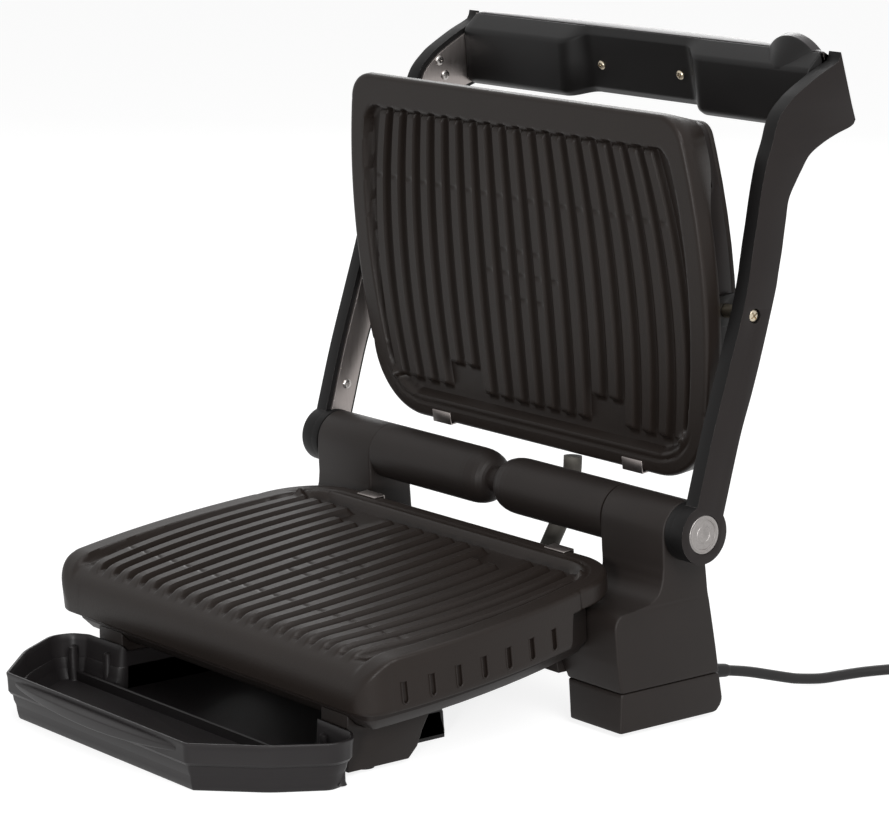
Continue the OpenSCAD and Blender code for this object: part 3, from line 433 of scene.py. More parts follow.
class PlateShape:
    """Plan of a cooking plate, bowed at the sides, with rounder rear corners; s runs from the rear edge."""
    half, bow_r, bow_s = 165.5, 400.0, 118.0
    rear_r, front_r = 45.0, 19.0
    rib_half, rib_r, rib_mid, last_rib = 139.5, 357.0, 95.0, 9

    def __init__(self, length):
        self.length = length
        self.bow_x = self.half - self.bow_r
        self.rear_x = self.bow_x + math.sqrt((self.bow_r - self.rear_r) ** 2
                                             - (self.rear_r - self.bow_s) ** 2)
        front_s = length - self.front_r
        self.front_x = self.bow_x + math.sqrt((self.bow_r - self.front_r) ** 2 - (front_s - self.bow_s) ** 2)
        self.front_s = front_s

    def half_width(self, s, inset):
        """Half width at s of the outline drawn in by inset."""
        side = self.bow_x + np.sqrt((self.bow_r - inset) ** 2 - (s - self.bow_s) ** 2)
        rear = self.rear_x + np.sqrt(np.maximum((self.rear_r - inset) ** 2 - (self.rear_r - s) ** 2, 0))
        front = self.front_x + np.sqrt(np.maximum((self.front_r - inset) ** 2 - (s - self.front_s) ** 2, 0))
        side = np.where(s < self.rear_r, np.minimum(side, rear), side)
        return np.where(s > self.front_s, np.minimum(side, front), side)

    def inset(self, x, s):
        """How far a point lies inside the outline."""
        x = np.abs(x)
        side = self.bow_r - np.hypot(x - self.bow_x, s - self.bow_s)
        value = np.minimum(np.minimum(side, s), self.length - s)
        rear = self.rear_r - np.hypot(x - self.rear_x, self.rear_r - s)
        front = self.front_r - np.hypot(x - self.front_x, s - self.front_s)
        value = np.where((x > self.rear_x) & (s < self.rear_r), np.minimum(value, rear), value)
        return np.where((x > self.front_x) & (s > self.front_s), np.minimum(value, front), value)

    def outward(self, x, s):
        """Outward direction of the outline nearest to a point on it."""
        side = 1.0 if x >= 0 else -1.0
        ax = abs(x)
        if s < self.rear_r and ax >= self.rear_x - 1e-6:
            d = (ax - self.rear_x, s - self.rear_r)
            reach = self.bow_x + math.sqrt(max((self.bow_r - 2.6) ** 2 - (s - self.bow_s) ** 2, 0))
            if ax > reach - 1e-3:
                d = (ax - self.bow_x, s - self.bow_s)
        elif s > self.front_s and ax >= self.front_x - 1e-6:
            d = (ax - self.front_x, s - self.front_s)
        elif s <= self.front_s and ax > min(self.rear_x, self.front_x) + 4:
            d = (ax - self.bow_x, s - self.bow_s)
        else:
            d = (0.0, -1.0 if s < self.length / 2 else 1.0)
        size = math.hypot(*d) or 1.0
        return side * d[0] / size, d[1] / size

    def rib_x(self, q, s):
        """Place of rib number q, or of a point between ribs, along its bowed path."""
        share = np.maximum(np.abs(q) / self.last_rib, 1e-4)
        r = self.rib_r / share
        return np.sign(q) * (self.rib_half * share - r + np.sqrt(r * r - (s - self.rib_mid) ** 2))


RIB_PITCH = PlateShape.rib_half / PlateShape.last_rib
# Half width of a rib on its flat top and at its foot
RIB_TOP, RIB_FOOT = 3.2, 5.6
# The border ends at the first inset, and the well reaches its depth at the second
WELL_EDGE = (13.5, 17.5)
# Groove in the border: its inset, half width and depth
BEAD_AT, BEAD_R, BEAD_DEPTH = 10.6, 0.8, 0.9
# Rows of pits in the rib tops: place and last rib on each side
PIT_ROWS = ((157, 9), (123, 1), (108, 2), (92, 1))
# Where the lower plate's ribs fade into the apron
APRON = (181, 193)
UNDER = -9.4


def rib_field(shape, q, s, short):
    """Height of the ribs, 0 to 1, with rounded ends; ribs 4 and 5 each side are shorter at the rear."""
    number = np.round(q)
    away = np.abs(q - number) * RIB_PITCH
    across = 1 - smooth(away, RIB_TOP, RIB_FOOT)
    rear = np.where((np.abs(number) == 4) | (np.abs(number) == 5), 40.0, short)
    along = smooth(s, rear - 2.0, rear + 2.5)
    return np.where(np.abs(number) <= shape.last_rib, across * along, 0)


def notches(q, s):
    """Small round pits in the rib tops: one row over all of them and a diamond of eleven in the middle."""
    number = np.round(q)
    depth = np.zeros_like(s + number)
    for row, reach in PIT_ROWS:
        depth = np.maximum(depth, np.where(np.abs(number) <= reach, np.exp(-((s - row) / 1.3) ** 2), 0))
    return depth * np.exp(-(((q - number) * RIB_PITCH) / 1.5) ** 2)


def plate_grid(shape, rows):
    """Columns that follow the ribs and rows across them, as rib number q, x and s."""
    flank = (-7.75, -6.4, -5.6, -5.0, -4.4, -3.8, -3.2, -1.3, 1.3, 3.2, 3.8, 4.4, 5.0, 5.6, 6.4)
    offsets = np.array(flank) / RIB_PITCH
    q = np.concatenate([k + offsets for k in range(-shape.last_rib, shape.last_rib + 1)])
    edge_steps = np.linspace(0, 1, 17)[1:]
    s = rows[:, None]
    inner = shape.rib_x(q[None, :], s)
    outer = shape.half_width(s, size("edge_round"))
    inner = inner * np.minimum(1, (outer - 5) / inner[:, -1:])
    right = inner[:, -1:] + (outer - inner[:, -1:]) * edge_steps[None, :]
    x = np.concatenate([-right[:, ::-1], inner, right], 1)
    q_edge = q[-1] + edge_steps * 1.4
    q_all = np.concatenate([-q_edge[::-1], q, q_edge])
    return np.broadcast_to(q_all[None, :], x.shape), x, np.broadcast_to(s, x.shape)


def plate_rows(shape, extra):
    """Rows of a plate: even, closer at its ends and at the pits, with the given places added."""
    start, end = size("edge_round"), shape.length - size("edge_round")
    near = (0, 0.12, 0.5, 1.2, 2.2, 3.5, 4.8)
    rows = list(np.arange(start + 6, end - 6, 1.45)) + [start + d for d in near] + [end - d for d in near]
    for place, _ in reversed(PIT_ROWS):
        rows = [r for r in rows if abs(r - place) > 2.6]
        rows += [place + d for d in (-2.4, -1.6, -0.8, 0, 0.8, 1.6, 2.4)]
    rows = np.array(sorted(rows + extra))
    return rows[np.insert(np.diff(rows) > 0.04, 0, True)]


def plate_mesh(shape, rows, height, base, wall):
    """A closed casting: the top field, a rounded edge, a wall of (inset, z) rings and an underside."""
    q, x, s = plate_grid(shape, rows)
    z = height(q, x, s)
    n_rows, n_cols = x.shape
    verts = [(x[i, j], -s[i, j], z[i, j]) for i in range(n_rows) for j in range(n_cols)]
    faces = [(i * n_cols + j, i * n_cols + j + 1, (i + 1) * n_cols + j + 1, (i + 1) * n_cols + j)
             for i in range(n_rows - 1) for j in range(n_cols - 1)]
    loop = [(0, j) for j in range(n_cols)] + [(i, n_cols - 1) for i in range(1, n_rows)]
    loop += [(n_rows - 1, j) for j in range(n_cols - 2, -1, -1)] + [(i, 0) for i in range(n_rows - 2, 0, -1)]
    last = [i * n_cols + j for i, j in loop]
    plan = [(x[i, j], s[i, j]) for i, j in loop]
    outs = [shape.outward(*p) for p in plan]
    edge_r = size("edge_round")
    for k in range(5 + len(wall(100.0))):
        ring = []
        for (px, ps), (ox, os_) in zip(plan, outs):
            if k < 5:
                turn = math.radians((65, 45, 25, 10, 0)[k])
                inset = edge_r * (1 - math.cos(turn))
            else:
                inset, level = wall(ps + os_ * edge_r)[k - 5]
            rx, rs = px + ox * (edge_r - inset), ps + os_ * (edge_r - inset)
            if k < 5:
                level = base(rs) - edge_r * (1 - math.sin(turn))
            ring.append(len(verts))
            verts.append((rx, -rs, base(rs) + UNDER if level is None else level))
        faces += [(last[i], ring[i], ring[(i + 1) % len(ring)], last[(i + 1) % len(ring)])
                  for i in range(len(ring))]
        last = ring
    verts.append((0, -shape.length / 2, UNDER))
    faces += [(last[i], len(verts) - 1, last[(i + 1) % len(last)]) for i in range(len(last))]
    return np.array(verts), faces


LOWER = PlateShape(203.0)
UPPER = PlateShape(222.0)
# Radius of the roll over the lower plate's front, and where it starts
ROLL_R = 24.0
ROLL_S = LOWER.length - ROLL_R
# Slots in the sides of the lower plate's skirt
SLOTS = [71 + 17.9 * i for i in range(7)]
SLOT_HALF, SLOT_TOP, SLOT_END = 2.0, -15.0, -28.0


def bead(inset, s):
    """Depth of the fine groove round the rear of a plate's border."""
    return BEAD_DEPTH * np.exp(-((inset - BEAD_AT) / BEAD_R) ** 2) * (1 - smooth(s, 20, 34))


def lower_base(s):
    """The border's height: flat, then rolled over the front."""
    return -ROLL_R + np.sqrt(np.maximum(ROLL_R ** 2 - np.maximum(s - ROLL_S, 0) ** 2, 0))


def lower_height(q, x, s):
    """Top of the lower plate: well, ribs, pits, and the apron that the ribs fade into over the front."""
    inset, well = LOWER.inset(x, s), size("well_depth")
    side = LOWER.bow_r - np.hypot(np.abs(x) - LOWER.bow_x, s - LOWER.bow_s)
    edge = np.minimum(np.where(s > LOWER.front_s - 6, side, inset), np.where(s < 60, inset, 99))
    depth = -well * smooth(edge, *WELL_EDGE) - bead(inset, s)
    ribs = rib_field(LOWER, q, s, 24.0)
    apron = smooth(s, *APRON)
    level = well * (1 - apron) + 1.6 * apron
    rib = ribs * (level - 1.0 * (1 - apron) - 1.6 * apron * smooth(s, 184, 193))
    depth = depth * (level / well) + rib - 1.7 * notches(q, s) * ribs
    return lower_base(s) + depth * (1 - smooth(s, 192, 200.4))


def lower_wall(s):
    """Rings down the lower plate's skirt and back up inside, as (inset, z)."""
    edge_r = size("edge_round")
    top = float(lower_base(s)) - edge_r
    deep = 12.0 + 19.5 * float(smooth(s, 53.0, 57.0))
    shares = [(z + edge_r) / (0.6 - 31.5 + edge_r) for z in (-8.0, SLOT_TOP, SLOT_END, -30.5)]
    level = [top + share * (0.6 - deep - top) for share in shares]
    rings = [(0.0, z) for z in level] + [(0.6, -deep), (2.8, -deep), (3.4, 0.6 - deep)]
    return rings + [(3.4, None), (12.0, None), (18.0, None)]


def upper_height(q, x, s):
    """Face of the upper plate: wide front border, well, ribs and pits."""
    side, well = UPPER.inset(x, s), size("well_depth")
    front = UPPER.length - 14.0 - s
    corner = 22.0 - np.hypot(np.minimum(side - 35.5, 0), np.minimum(front - 22.0, 0))
    depth = -well * smooth(side, *WELL_EDGE) * smooth(front, -3.5, 5.5) * smooth(corner, -1.0, 3.0)
    depth = depth - bead(side, s)
    ribs = rib_field(UPPER, q, s, 24.0) * (1 - smooth(s, 198, 203))
    return depth + ribs * (well - 1.0) - 1.5 * notches(q, s) * ribs


def upper_wall(s):
    """Rings back round the upper plate: shallow at the rear, deep and drawn in round the front."""
    share = float(smooth(s, 158, 196))
    shallow = np.array([(0.0, -6.0), (0.0, -9.0), (0.0, -11.6), (0.4, -12.0), (2.6, -12.0), (3.2, -11.6)])
    deep = np.array([(0.0, -6.0), (2.2, -12.0), (7.0, -24.5), (7.4, -25.0), (9.6, -25.0), (10.2, -24.0)])
    rings = [tuple(p) for p in shallow + (deep - shallow) * share]
    return rings + [(3.4 + 7.0 * share, None), (12.0, None), (18.0, None)]


def build_lower_plate():
    """The lower cooking plate with its apron and side slots."""
    rows = plate_rows(LOWER, [56.95, 57.0] + [p + d for p in SLOTS for d in (-SLOT_HALF, SLOT_HALF)])
    verts, faces = plate_mesh(LOWER, rows, lower_height, lambda s: float(lower_base(s)), lower_wall)
    made = make_piece("lower_grill_plate", placed(verts, LOWER_AT, LOWER_TILT), faces, "base", "coating",
                      merge=0.00002)
    sink_slots(made)
    finish_piece(made, None, "coating", 50, ("lower_plate",))


def build_upper_plate():
    """The upper cooking plate, which faces down when the lid is shut."""
    verts, faces = plate_mesh(UPPER, plate_rows(UPPER, [175.95, 176.0]), upper_height, lambda s: 0.0,
                              upper_wall)
    verts[:, 2] *= -1
    make_piece("upper_grill_plate", placed(verts, UPPER_AT, UPPER_TILT), faces, "upper_grill", "coating", 50,
               ("upper_plate",), merge=0.00002)


def sink_slots(made):
    """Sinks the tall slots into both long sides of the lower plate's skirt."""
    back = np.array(HINGE)
    c, n = math.cos(math.radians(LOWER_TILT)), math.sin(math.radians(LOWER_TILT))
    work = bmesh.new()
    work.from_mesh(made.data)
    groups = {1: [], -1: []}
    for face in work.faces:
        mid = (np.array(face.calc_center_median()) - back) / MM - np.array(LOWER_AT)
        y, z = c * mid[1] + n * mid[2], -n * mid[1] + c * mid[2]
        if abs(mid[0]) > 150 and SLOT_END < z < SLOT_TOP and any(abs(-y - s) < SLOT_HALF for s in SLOTS):
            side = 1 if mid[0] > 0 else -1
            if face.normal.x * side > 0.8:
                groups[side].append(face)
    for side, outer in groups.items():
        result = bmesh.ops.extrude_face_region(work, geom=outer)
        moved = [v for v in result["geom"] if isinstance(v, bmesh.types.BMVert)]
        bmesh.ops.translate(work, vec=Vector((-side * size("slot_depth") * MM, 0, 0)), verts=moved)
        bmesh.ops.delete(work, geom=outer, context="FACES_ONLY")
    work.to_mesh(made.data)
    work.free()


# ---------------------------------------------------------------- mains lead and lid hose

# Route of the lead on the table, in millimetres from the hinge axis, then its coil beside the rear
LEAD_ROUTE = [(141, 31, -98), (141.3, 38, -98.1), (142, 45, -98.6), (142.9, 52.5, -99.4), (144, 60, -100.6),
              (145.4, 68.5, -102.2), (147, 77, -104.2), (148.5, 85, -106.4), (150, 93, -108.6),
              (151.5, 100.5, -110.6), (153, 108, -112.3), (156, 124, -114.4), (158.5, 140, -114.7),
              (162.5, 158, -114.7), (169.5, 176, -114.7), (178.5, 195, -114.7), (187.5, 214.5, -114.7),
              (194.8, 234, -114.7), (198.6, 251, -114.7)]
COIL_AT, COIL_R = (160.0, 262.0), 36.0
# End of the strain relief, where the free lead starts
LEAD_START = (143.5, 57.0, -100.1)
HOSE_ROUTE = [(32, 30, 17), (32, 29.5, 8), (31.5, 28, -2), (31, 25.5, -12), (31, 21, -22), (31, 15, -32),
              (31, 10.5, -40), (31, 10, -46)]


def smooth_line(points, step):
    """Points at an even step along a Catmull-Rom curve."""
    points = np.array(points, float)
    ends = np.vstack([2 * points[0] - points[1], points, 2 * points[-1] - points[-2]])
    line = []
    for a, b, c, d in zip(ends[:-3], ends[1:-2], ends[2:-1], ends[3:]):
        for t in np.linspace(0, 1, 12, endpoint=False):
            line.append(0.5 * (2 * b + (c - a) * t + (2 * a - 5 * b + 4 * c - d) * t ** 2
                               + (3 * b - a - 3 * c + d) * t ** 3))
    line = np.array(line + [points[-1]])
    far = np.concatenate([[0], np.cumsum(np.linalg.norm(np.diff(line, axis=0), axis=1))])
    return np.stack([np.interp(np.linspace(0, far[-1], int(far[-1] / step) + 1), far, line[:, k])
                     for k in range(3)], 1)


def coil_line(thick):
    """Four and a quarter turns: outer and inner turn on the table, then inner and outer on top of them."""
    outer, inner = COIL_R + thick / 2 + 0.05, COIL_R - thick / 2 - 0.05
    low, high = FLOOR_Z + thick / 2, FLOOR_Z + 1.5 * thick + 0.1
    line = []
    for deg in np.arange(8, 4 * 360 + 91, 8.0):
        r = outer + (inner - outer) * (smooth(deg, 345, 400) - smooth(deg, 1065, 1120))
        z = low + (high - low) * smooth(deg, 700, 760)
        a = math.radians(deg)
        line.append((COIL_AT[0] + float(r) * math.cos(a), COIL_AT[1] + float(r) * math.sin(a), float(z)))
    return line


def tube_curve(name, line, diameter, finish):
    """A round tube along points in millimetres, as a curve with one open spline."""
    data = bpy.data.curves.new(name, "CURVE")
    data.dimensions, data.bevel_depth, data.bevel_resolution = "3D", diameter / 2 * MM, 4
    data.use_fill_caps = True
    spline = data.splines.new("POLY")
    spline.points.add(len(line) - 1)
    for point, place in zip(spline.points, placed(line)):
        point.co = (*place, 1)
    spline.use_smooth = True
    data.materials.append(FINISH[finish])
    made = bpy.data.objects.new(name, data)
    bpy.context.scene.collection.objects.link(made)
    return made


def build_plug(front_x, tail_x, at_y, at_z):
    """The moulded plug: a waisted grip with a ringed tail round the lead."""
    tail = [(tail_x - d, 4.1 + d * 0.19 + (0.5 if k % 2 else -0.3))
            for k, d in enumerate(np.arange(0.6, 21.0, 1.7))]
    grip = [(26.5, 8.6), (25, 9.5), (23, 9.9), (19, 9.7), (13, 8.9), (8, 9.1), (3, 9.8), (1.2, 9.8),
            (0.3, 9.4), (0, 8.8), (0, 0)]
    points, faces = revolved([(tail_x, 0), (tail_x, 3.9)] + tail + [(front_x + x, r) for x, r in grip], 48)
    points = [(x, y + at_y, z + at_z) for x, y, z in points]
    return make_piece("plug_moulding", placed(points), faces, "base", "lead", 50, ("plug_body",))


def build_relief():
    """The tapered sleeve that guards the lead where it leaves the pillar."""
    x, y, z = LEAD_START
    inside = [(141, 24, -98), (141, 28, -98)] + [p for p in LEAD_ROUTE if p[1] < y - 4]
    line = smooth_line(inside + [(x, y + 0.6, z)], 1.0)
    radius = np.interp(line[:, 1], (24, 31, 34, y - 1, y + 0.6), (5.6, 5.6, 4.9, 4.0, 3.5))
    verts, faces = tube_mesh(line, radius, 32)
    make_piece("lead_sleeve", placed(verts), faces, "base", "lead", stands_for=("strain_relief",))


def build_lead():
    """The mains lead: from its strain relief down to the table, back along it and into a small coil."""
    thick = size("lead_diameter")
    low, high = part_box("plug_body")
    end = (high.x / MM - 1, COIL_AT[1] + COIL_R + thick / 2, FLOOR_Z + 10)
    plug = build_plug(low.x / MM, high.x / MM, *end[1:])
    route = [p for p in LEAD_ROUTE if p[1] > LEAD_START[1] + 1]
    line = smooth_line([LEAD_START] + route + coil_line(thick) + [end], 3.0)
    line[:, 2] = np.maximum(line[:, 2], FLOOR_Z + thick / 2 + 0.02)
    made = tube_curve("mains_lead", line, thick, "lead")
    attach(made, "base")
    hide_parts("power_cord", "cord_coil")


def tube_mesh(line, radius, sides):
    """Vertices and faces of a tube along points; radius is one value or one for each point."""
    line, radius = np.array(line, float), np.broadcast_to(radius, (len(line),))
    run = np.gradient(line, axis=0)
    run /= np.linalg.norm(run, axis=1)[:, None]
    a = np.cross(run, (1, 0, 0.13))
    a /= np.linalg.norm(a, axis=1)[:, None]
    b = np.cross(run, a)
    turn = np.linspace(0, 2 * math.pi, sides, endpoint=False)[None, :, None]
    return skinned(line[:, None] + radius[:, None, None]
                   * (np.cos(turn) * a[:, None] + np.sin(turn) * b[:, None]))


def build_hose():
    """The smooth sleeve of the lid's leads."""
    verts, faces = tube_mesh(smooth_line(HOSE_ROUTE, 1.5), size("hose_diameter") / 2, 32)
    made = make_piece("lid_hose_sleeve", placed(verts), faces, None, "hose", 60, ("lid_hose",))
    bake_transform(made)


# ---------------------------------------------------------------- lid arms

# Arm seen from the side, as (y, z): its front edge from the top down, then its rear edge from the boss up
ARM_FRONT = [(114.2, 271.2), (112.9, 266.6), (109.5, 264.4), (99, 259.9), (90, 255.3), (81.5, 250.6),
             (75, 246.3), (65, 236.5), (58.7, 222), (53, 211), (47, 195), (41.2, 176.5), (35.2, 157.6),
             (28.3, 128.8), (17, 93.3), (5.7, 57.9), (-4.4, 21.5), (-5.7, 16.8)]
ARM_REAR = [(15.0, 9.4), (17.4, 18.3), (27.6, 54.9), (36.8, 80.9), (44.8, 106.2), (53.8, 137.7),
            (56.2, 148.9), (60, 161.7), (64.7, 177.6), (68.5, 189.5), (75.6, 199.2), (80, 204.5),
            (87.6, 212.9), (98.4, 218.7), (110.9, 223.4), (120.3, 226), (125.1, 227.9), (127.1, 230.6)]
BOSS_R = 17.65
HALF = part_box("right_arm_cover")[1].x / MM
# Depths from an arm's outer face: of its cover, its steel plate and its boss
SHELL_T, ARM_T, BOSS_T = 10.0, 12.2, 15.5
# How far the arms are set inward, as (z, shift)
ARM_SET = ((140, 0.0), (150, 0.25), (160, 1.25), (170, 2.7), (180, 4.1), (190, 5.5), (200, 6.9), (210, 8.3),
           (220, 9.6), (230, 10.6), (240, 11.0))


def line_through(points, step):
    """Even points along a smooth curve in the side view."""
    return [tuple(p[:2]) for p in smooth_line([(a, b, 0) for a, b in points], step)]


def arc_points(centre, radius, start, end, count):
    """Points of an arc between two angles in degrees."""
    return [(centre[0] + radius * math.cos(math.radians(a)), centre[1] + radius * math.sin(math.radians(a)))
            for a in np.linspace(start, end, count)]


def arm_outline():
    """Side view of an arm: S-shaped edges that run into the round boss."""
    turn = arc_points((0, 0), BOSS_R, 108.6, 392.1, 60)
    return line_through(ARM_FRONT, 3)[:-1] + turn + line_through(ARM_REAR, 3)[1:]


def grown(points, distance):
    """A closed outline moved outward along its own normals; a negative distance moves it inward."""
    ring = np.array(points, float)
    run = np.roll(ring, -1, 0) - np.roll(ring, 1, 0)
    run /= np.linalg.norm(run, axis=1)[:, None]
    area = np.sum(ring[:, 0] * np.roll(ring[:, 1], -1) - np.roll(ring[:, 0], -1) * ring[:, 1])
    out = np.stack([run[:, 1], -run[:, 0]], 1) * (1 if area > 0 else -1)
    return [tuple(p) for p in ring + out * distance]


def set_inward(z):
    """How far an arm is set inward at a height."""
    return float(np.interp(z, *zip(*ARM_SET)))


def side_plate(name, outline, deep, shallow, side, finishes, edge, node, holes=()):
    """An arm layer between two depths from its outer face: bored, set inward near the top, rims rounded."""
    sign = 1 if side == "right" else -1
    x0, x1 = sign * (HALF - deep), sign * (HALF - shallow)
    verts, faces = skinned([[(x, *p) for p in outline] for x in (x0, x1)])
    made = make_piece(name, placed(verts), faces, None, finishes[0])
    tools = []
    for y, z, radius, depth in holes:
        ring = arc_points((y, z), radius, 0, 360 - 7.5, 48)
        verts, faces = skinned([[(x, *p) for p in ring] for x in (x1 - sign * depth, x1 + sign * 2)])
        tools.append(make_piece("bore", placed(verts), faces, None, finishes[0]))
    cut_out(made, tools)
    work = bmesh.new()
    work.from_mesh(made.data)
    for level, _ in ARM_SET:
        bmesh.ops.bisect_plane(work, geom=list(work.verts) + list(work.edges) + list(work.faces), dist=1e-6,
                               plane_co=(0, 0, HINGE.z + level * MM), plane_no=(0, 0, 1))
    for vert in work.verts:
        vert.co.x -= sign * MM * set_inward((vert.co.z - HINGE.z) / MM)
    # faces that don't face outward take the second finish: on the arm shells that is the painted shade of the
    # flanks
    for face in work.faces:
        face.material_index = 0 if face.normal.x * sign > 0.5 or len(finishes) == 1 else 1
    work.to_mesh(made.data)
    work.free()
    for finish in finishes[1:]:
        made.data.materials.append(FINISH[finish])
    # the rounding takes the last finish; on the arm shells that is the painted highlight along the corners
    round_edges(made, edge, 3, 50, len(finishes) - 1)
    return finish_piece(made, "lid_arms", None, 40, (node,))


def on_both_sides(profile):
    """A lathe shape about the hinge on both sides: profile of (along from the arm's outer face, radius)."""
    points, faces = revolved(profile)
    return joined([([(sign * (HALF + x), y, z) for x, y, z in points], faces) for sign in (-1, 1)])


def build_arms():
    """Both lid arms: moulded covers on flat steel plates, with a boss on each hinge."""
    outline = arm_outline()
    inner = grown(outline, -3.0)
    holes = ((0, 0, 11.75, 1.55), (*FLOAT_PIVOT[1:], 4.4, 3.0))
    for side in ("left", "right"):
        # the shells' flanks take painted shade and their rounded corners a painted highlight
        side_plate(side + "_arm_shell", outline, SHELL_T, 0, side, ("arm", "arm_painted_shade", "arm_painted_highlight"),
                   size("arm_rounding"), side + "_arm_cover", holes)
        side_plate(side + "_arm_steel", inner, ARM_T, SHELL_T + 0.1, side, ("steel",), 0.35,
                   side + "_arm_plate")
    seat = 0.3 - SHELL_T
    verts, faces = on_both_sides([(-BOSS_T, 0), (-BOSS_T, BOSS_R - 1), (0.3 - BOSS_T, BOSS_R - 0.3),
                                  (1 - BOSS_T, BOSS_R), (-SHELL_T, BOSS_R), (seat, BOSS_R - 1), (seat, 0)])
    # the bosses are given the painted shade of the arms' flanks
    make_piece("hinge_bosses", placed(verts), faces, "lid_arms", "arm_painted_shade")


# ---------------------------------------------------------------- repeated pieces

def instancing_tree():
    """Geometry Nodes: one source piece on every point, each turned by its own share about its axis."""
    tree = bpy.data.node_groups.new("repeated_pieces", "GeometryNodeTree")
    face = tree.interface
    for name, kind in (("Geometry", "NodeSocketGeometry"), ("Piece", "NodeSocketObject"),
                       ("Tilt", "NodeSocketRotation"), ("Spin", "NodeSocketFloat"), ("Seed", "NodeSocketInt"),
                       ("Finish", "NodeSocketMaterial")):
        face.new_socket(name=name, in_out="INPUT", socket_type=kind)
    face.new_socket(name="Geometry", in_out="OUTPUT", socket_type="NodeSocketGeometry")
    start = tree.nodes.new("NodeGroupInput")
    source = add_node(tree, "GeometryNodeObjectInfo", links={"Object": start.outputs["Piece"]},
                      transform_space="ORIGINAL")
    points = add_node(tree, "GeometryNodeMeshToPoints", links={"Mesh": start.outputs["Geometry"]})
    placed_on = add_node(tree, "GeometryNodeInstanceOnPoints",
                         links={"Points": points.outputs["Points"], "Instance": source.outputs["Geometry"],
                                "Rotation": start.outputs["Tilt"]})
    share = add_node(tree, "FunctionNodeRandomValue", data_type="FLOAT",
                     links={"Seed": start.outputs["Seed"], 3: start.outputs["Spin"]})
    turn = add_node(tree, "ShaderNodeCombineXYZ", links={"Z": share.outputs[1]})
    spun = add_node(tree, "GeometryNodeRotateInstances",
                    links={"Instances": placed_on.outputs[0], "Rotation": turn.outputs[0]})
    real = add_node(tree, "GeometryNodeRealizeInstances", links={"Geometry": spun.outputs[0]})
    dressed = add_node(tree, "GeometryNodeSetMaterial", links={"Geometry": real.outputs[0],
                                                               "Material": start.outputs["Finish"]})
    end = tree.nodes.new("NodeGroupOutput")
    tree.links.new(dressed.outputs[0], end.inputs[0])
    return tree


def repeated(name, source, places, tilt, body, finish, seed=3, spin=2 * math.pi, sharp=35, stands_for=()):
    """Copies of a small piece at row-frame places, all tilted alike, as one plain mesh."""
    tree = bpy.data.node_groups.get("repeated_pieces") or instancing_tree()
    seeds = bpy.data.meshes.new(name + "_places")
    seeds.from_pydata([tuple(p) for p in places], [], [])
    holder = bpy.data.objects.new(name + "_places", seeds)
    bpy.context.scene.collection.objects.link(holder)
    nodes = holder.modifiers.new("copies", "NODES")
    nodes.node_group = tree
    values = {"Piece": source, "Tilt": tilt, "Spin": float(spin), "Seed": seed, "Finish": FINISH[finish]}
    for socket in tree.interface.items_tree:
        if socket.in_out == "INPUT" and socket.name in values:
            nodes[socket.identifier] = values[socket.name]
    bpy.context.view_layer.update()
    solid = bpy.data.meshes.new_from_object(holder.evaluated_get(bpy.context.evaluated_depsgraph_get()))
    bpy.data.objects.remove(holder)
    made = bpy.data.objects.new(name, solid)
    bpy.context.scene.collection.objects.link(made)
    return finish_piece(made, body, finish, sharp, stands_for)


def screw_piece(radius, height, slot):
    """A pan head with a cross recess, its seat at the origin and its top up; a source for repeated()."""
    profile = [(0, 0), (0, radius - 0.1), (0.1, radius), (height * 0.45, radius),
               (height * 0.8, radius * 0.86), (height, radius * 0.55), (height, 0)]
    points, faces = revolved(profile, 40)
    made = make_piece("screw_source", [(y * MM, z * MM, x * MM) for x, y, z in points], faces, None, "turned")
    tools = []
    for a, b in ((slot, slot * 0.17), (slot * 0.17, slot)):
        corners = [(i * a * MM, j * b * MM, k * MM) for k in (height * 0.25, height + 1)
                   for i, j in ((-1, -1), (1, -1), (1, 1), (-1, 1))]
        tools.append(make_piece("recess", corners, BLOCK, None, "turned"))
    cut_out(made, tools)
    return made


ARM_SCREWS = ((78.8, 241.2), (84.0, 231.2), (10.1, 33.3))


def build_screws():
    """Every visible screw: on the arms' steel plates, on the float pivots and in the handle's recess."""
    sides = (("left", -1), ("right", 1))
    source = screw_piece(3.2, 1.4, 1.9)
    for side, sign in sides:
        spots = placed([(sign * (HALF - ARM_T - set_inward(z) + 0.1), y, z) for y, z in ARM_SCREWS])
        repeated(side + "_plate_screws", source, spots, (0, -sign * math.pi / 2, 0), "lid_arms", "turned",
                 3 + sign, stands_for=("arm_screws",) if sign > 0 else ())
    bpy.data.objects.remove(source)
    source = screw_piece(4.1, 1.9, 2.5)
    for side, sign in sides:
        spots = placed([(sign * (HALF - 2.6), *FLOAT_PIVOT[1:])])
        repeated(side + "_pivot_head", source, spots, (0, sign * math.pi / 2, 0), "lid_arms", "zinc", 5, 1.2)
    bpy.data.objects.remove(source)
    source = screw_piece(3.0, 1.7, 1.9)
    spots = placed([(x, -9.5, -1.5) for x in (-36.5, 36.5)], PANEL_AT, PANEL_TILT)
    repeated("grip_screw_heads", source, spots, (math.radians(90 + PANEL_TILT), 0, 0), "lid_arms", "zinc", 9,
             stands_for=("handle_screws",))
    bpy.data.objects.remove(source)


def build_caps():
    """Hinge caps with plain raised rings, one each side."""
    rings = ((11.25, -0.1), (10.5, -0.1), (10.2, -0.35), (9.7, -0.35), (9.4, -0.12), (8.9, -0.12),
             (8.7, -0.5), (5.4, -0.5), (5.2, -0.3), (4.6, -0.3), (4.4, -0.5), (1.6, -0.5), (1.3, -0.3),
             (0, -0.3))
    verts, faces = on_both_sides([(-1.5, 0), (-1.5, 11.5), (-0.35, 11.5)] + [(x, r) for r, x in rings])
    make_piece("hinge_medallions", placed(verts), faces, "lid_arms", "cap", stands_for=("hinge_caps",))


# ---------------------------------------------------------------- handle and control panel

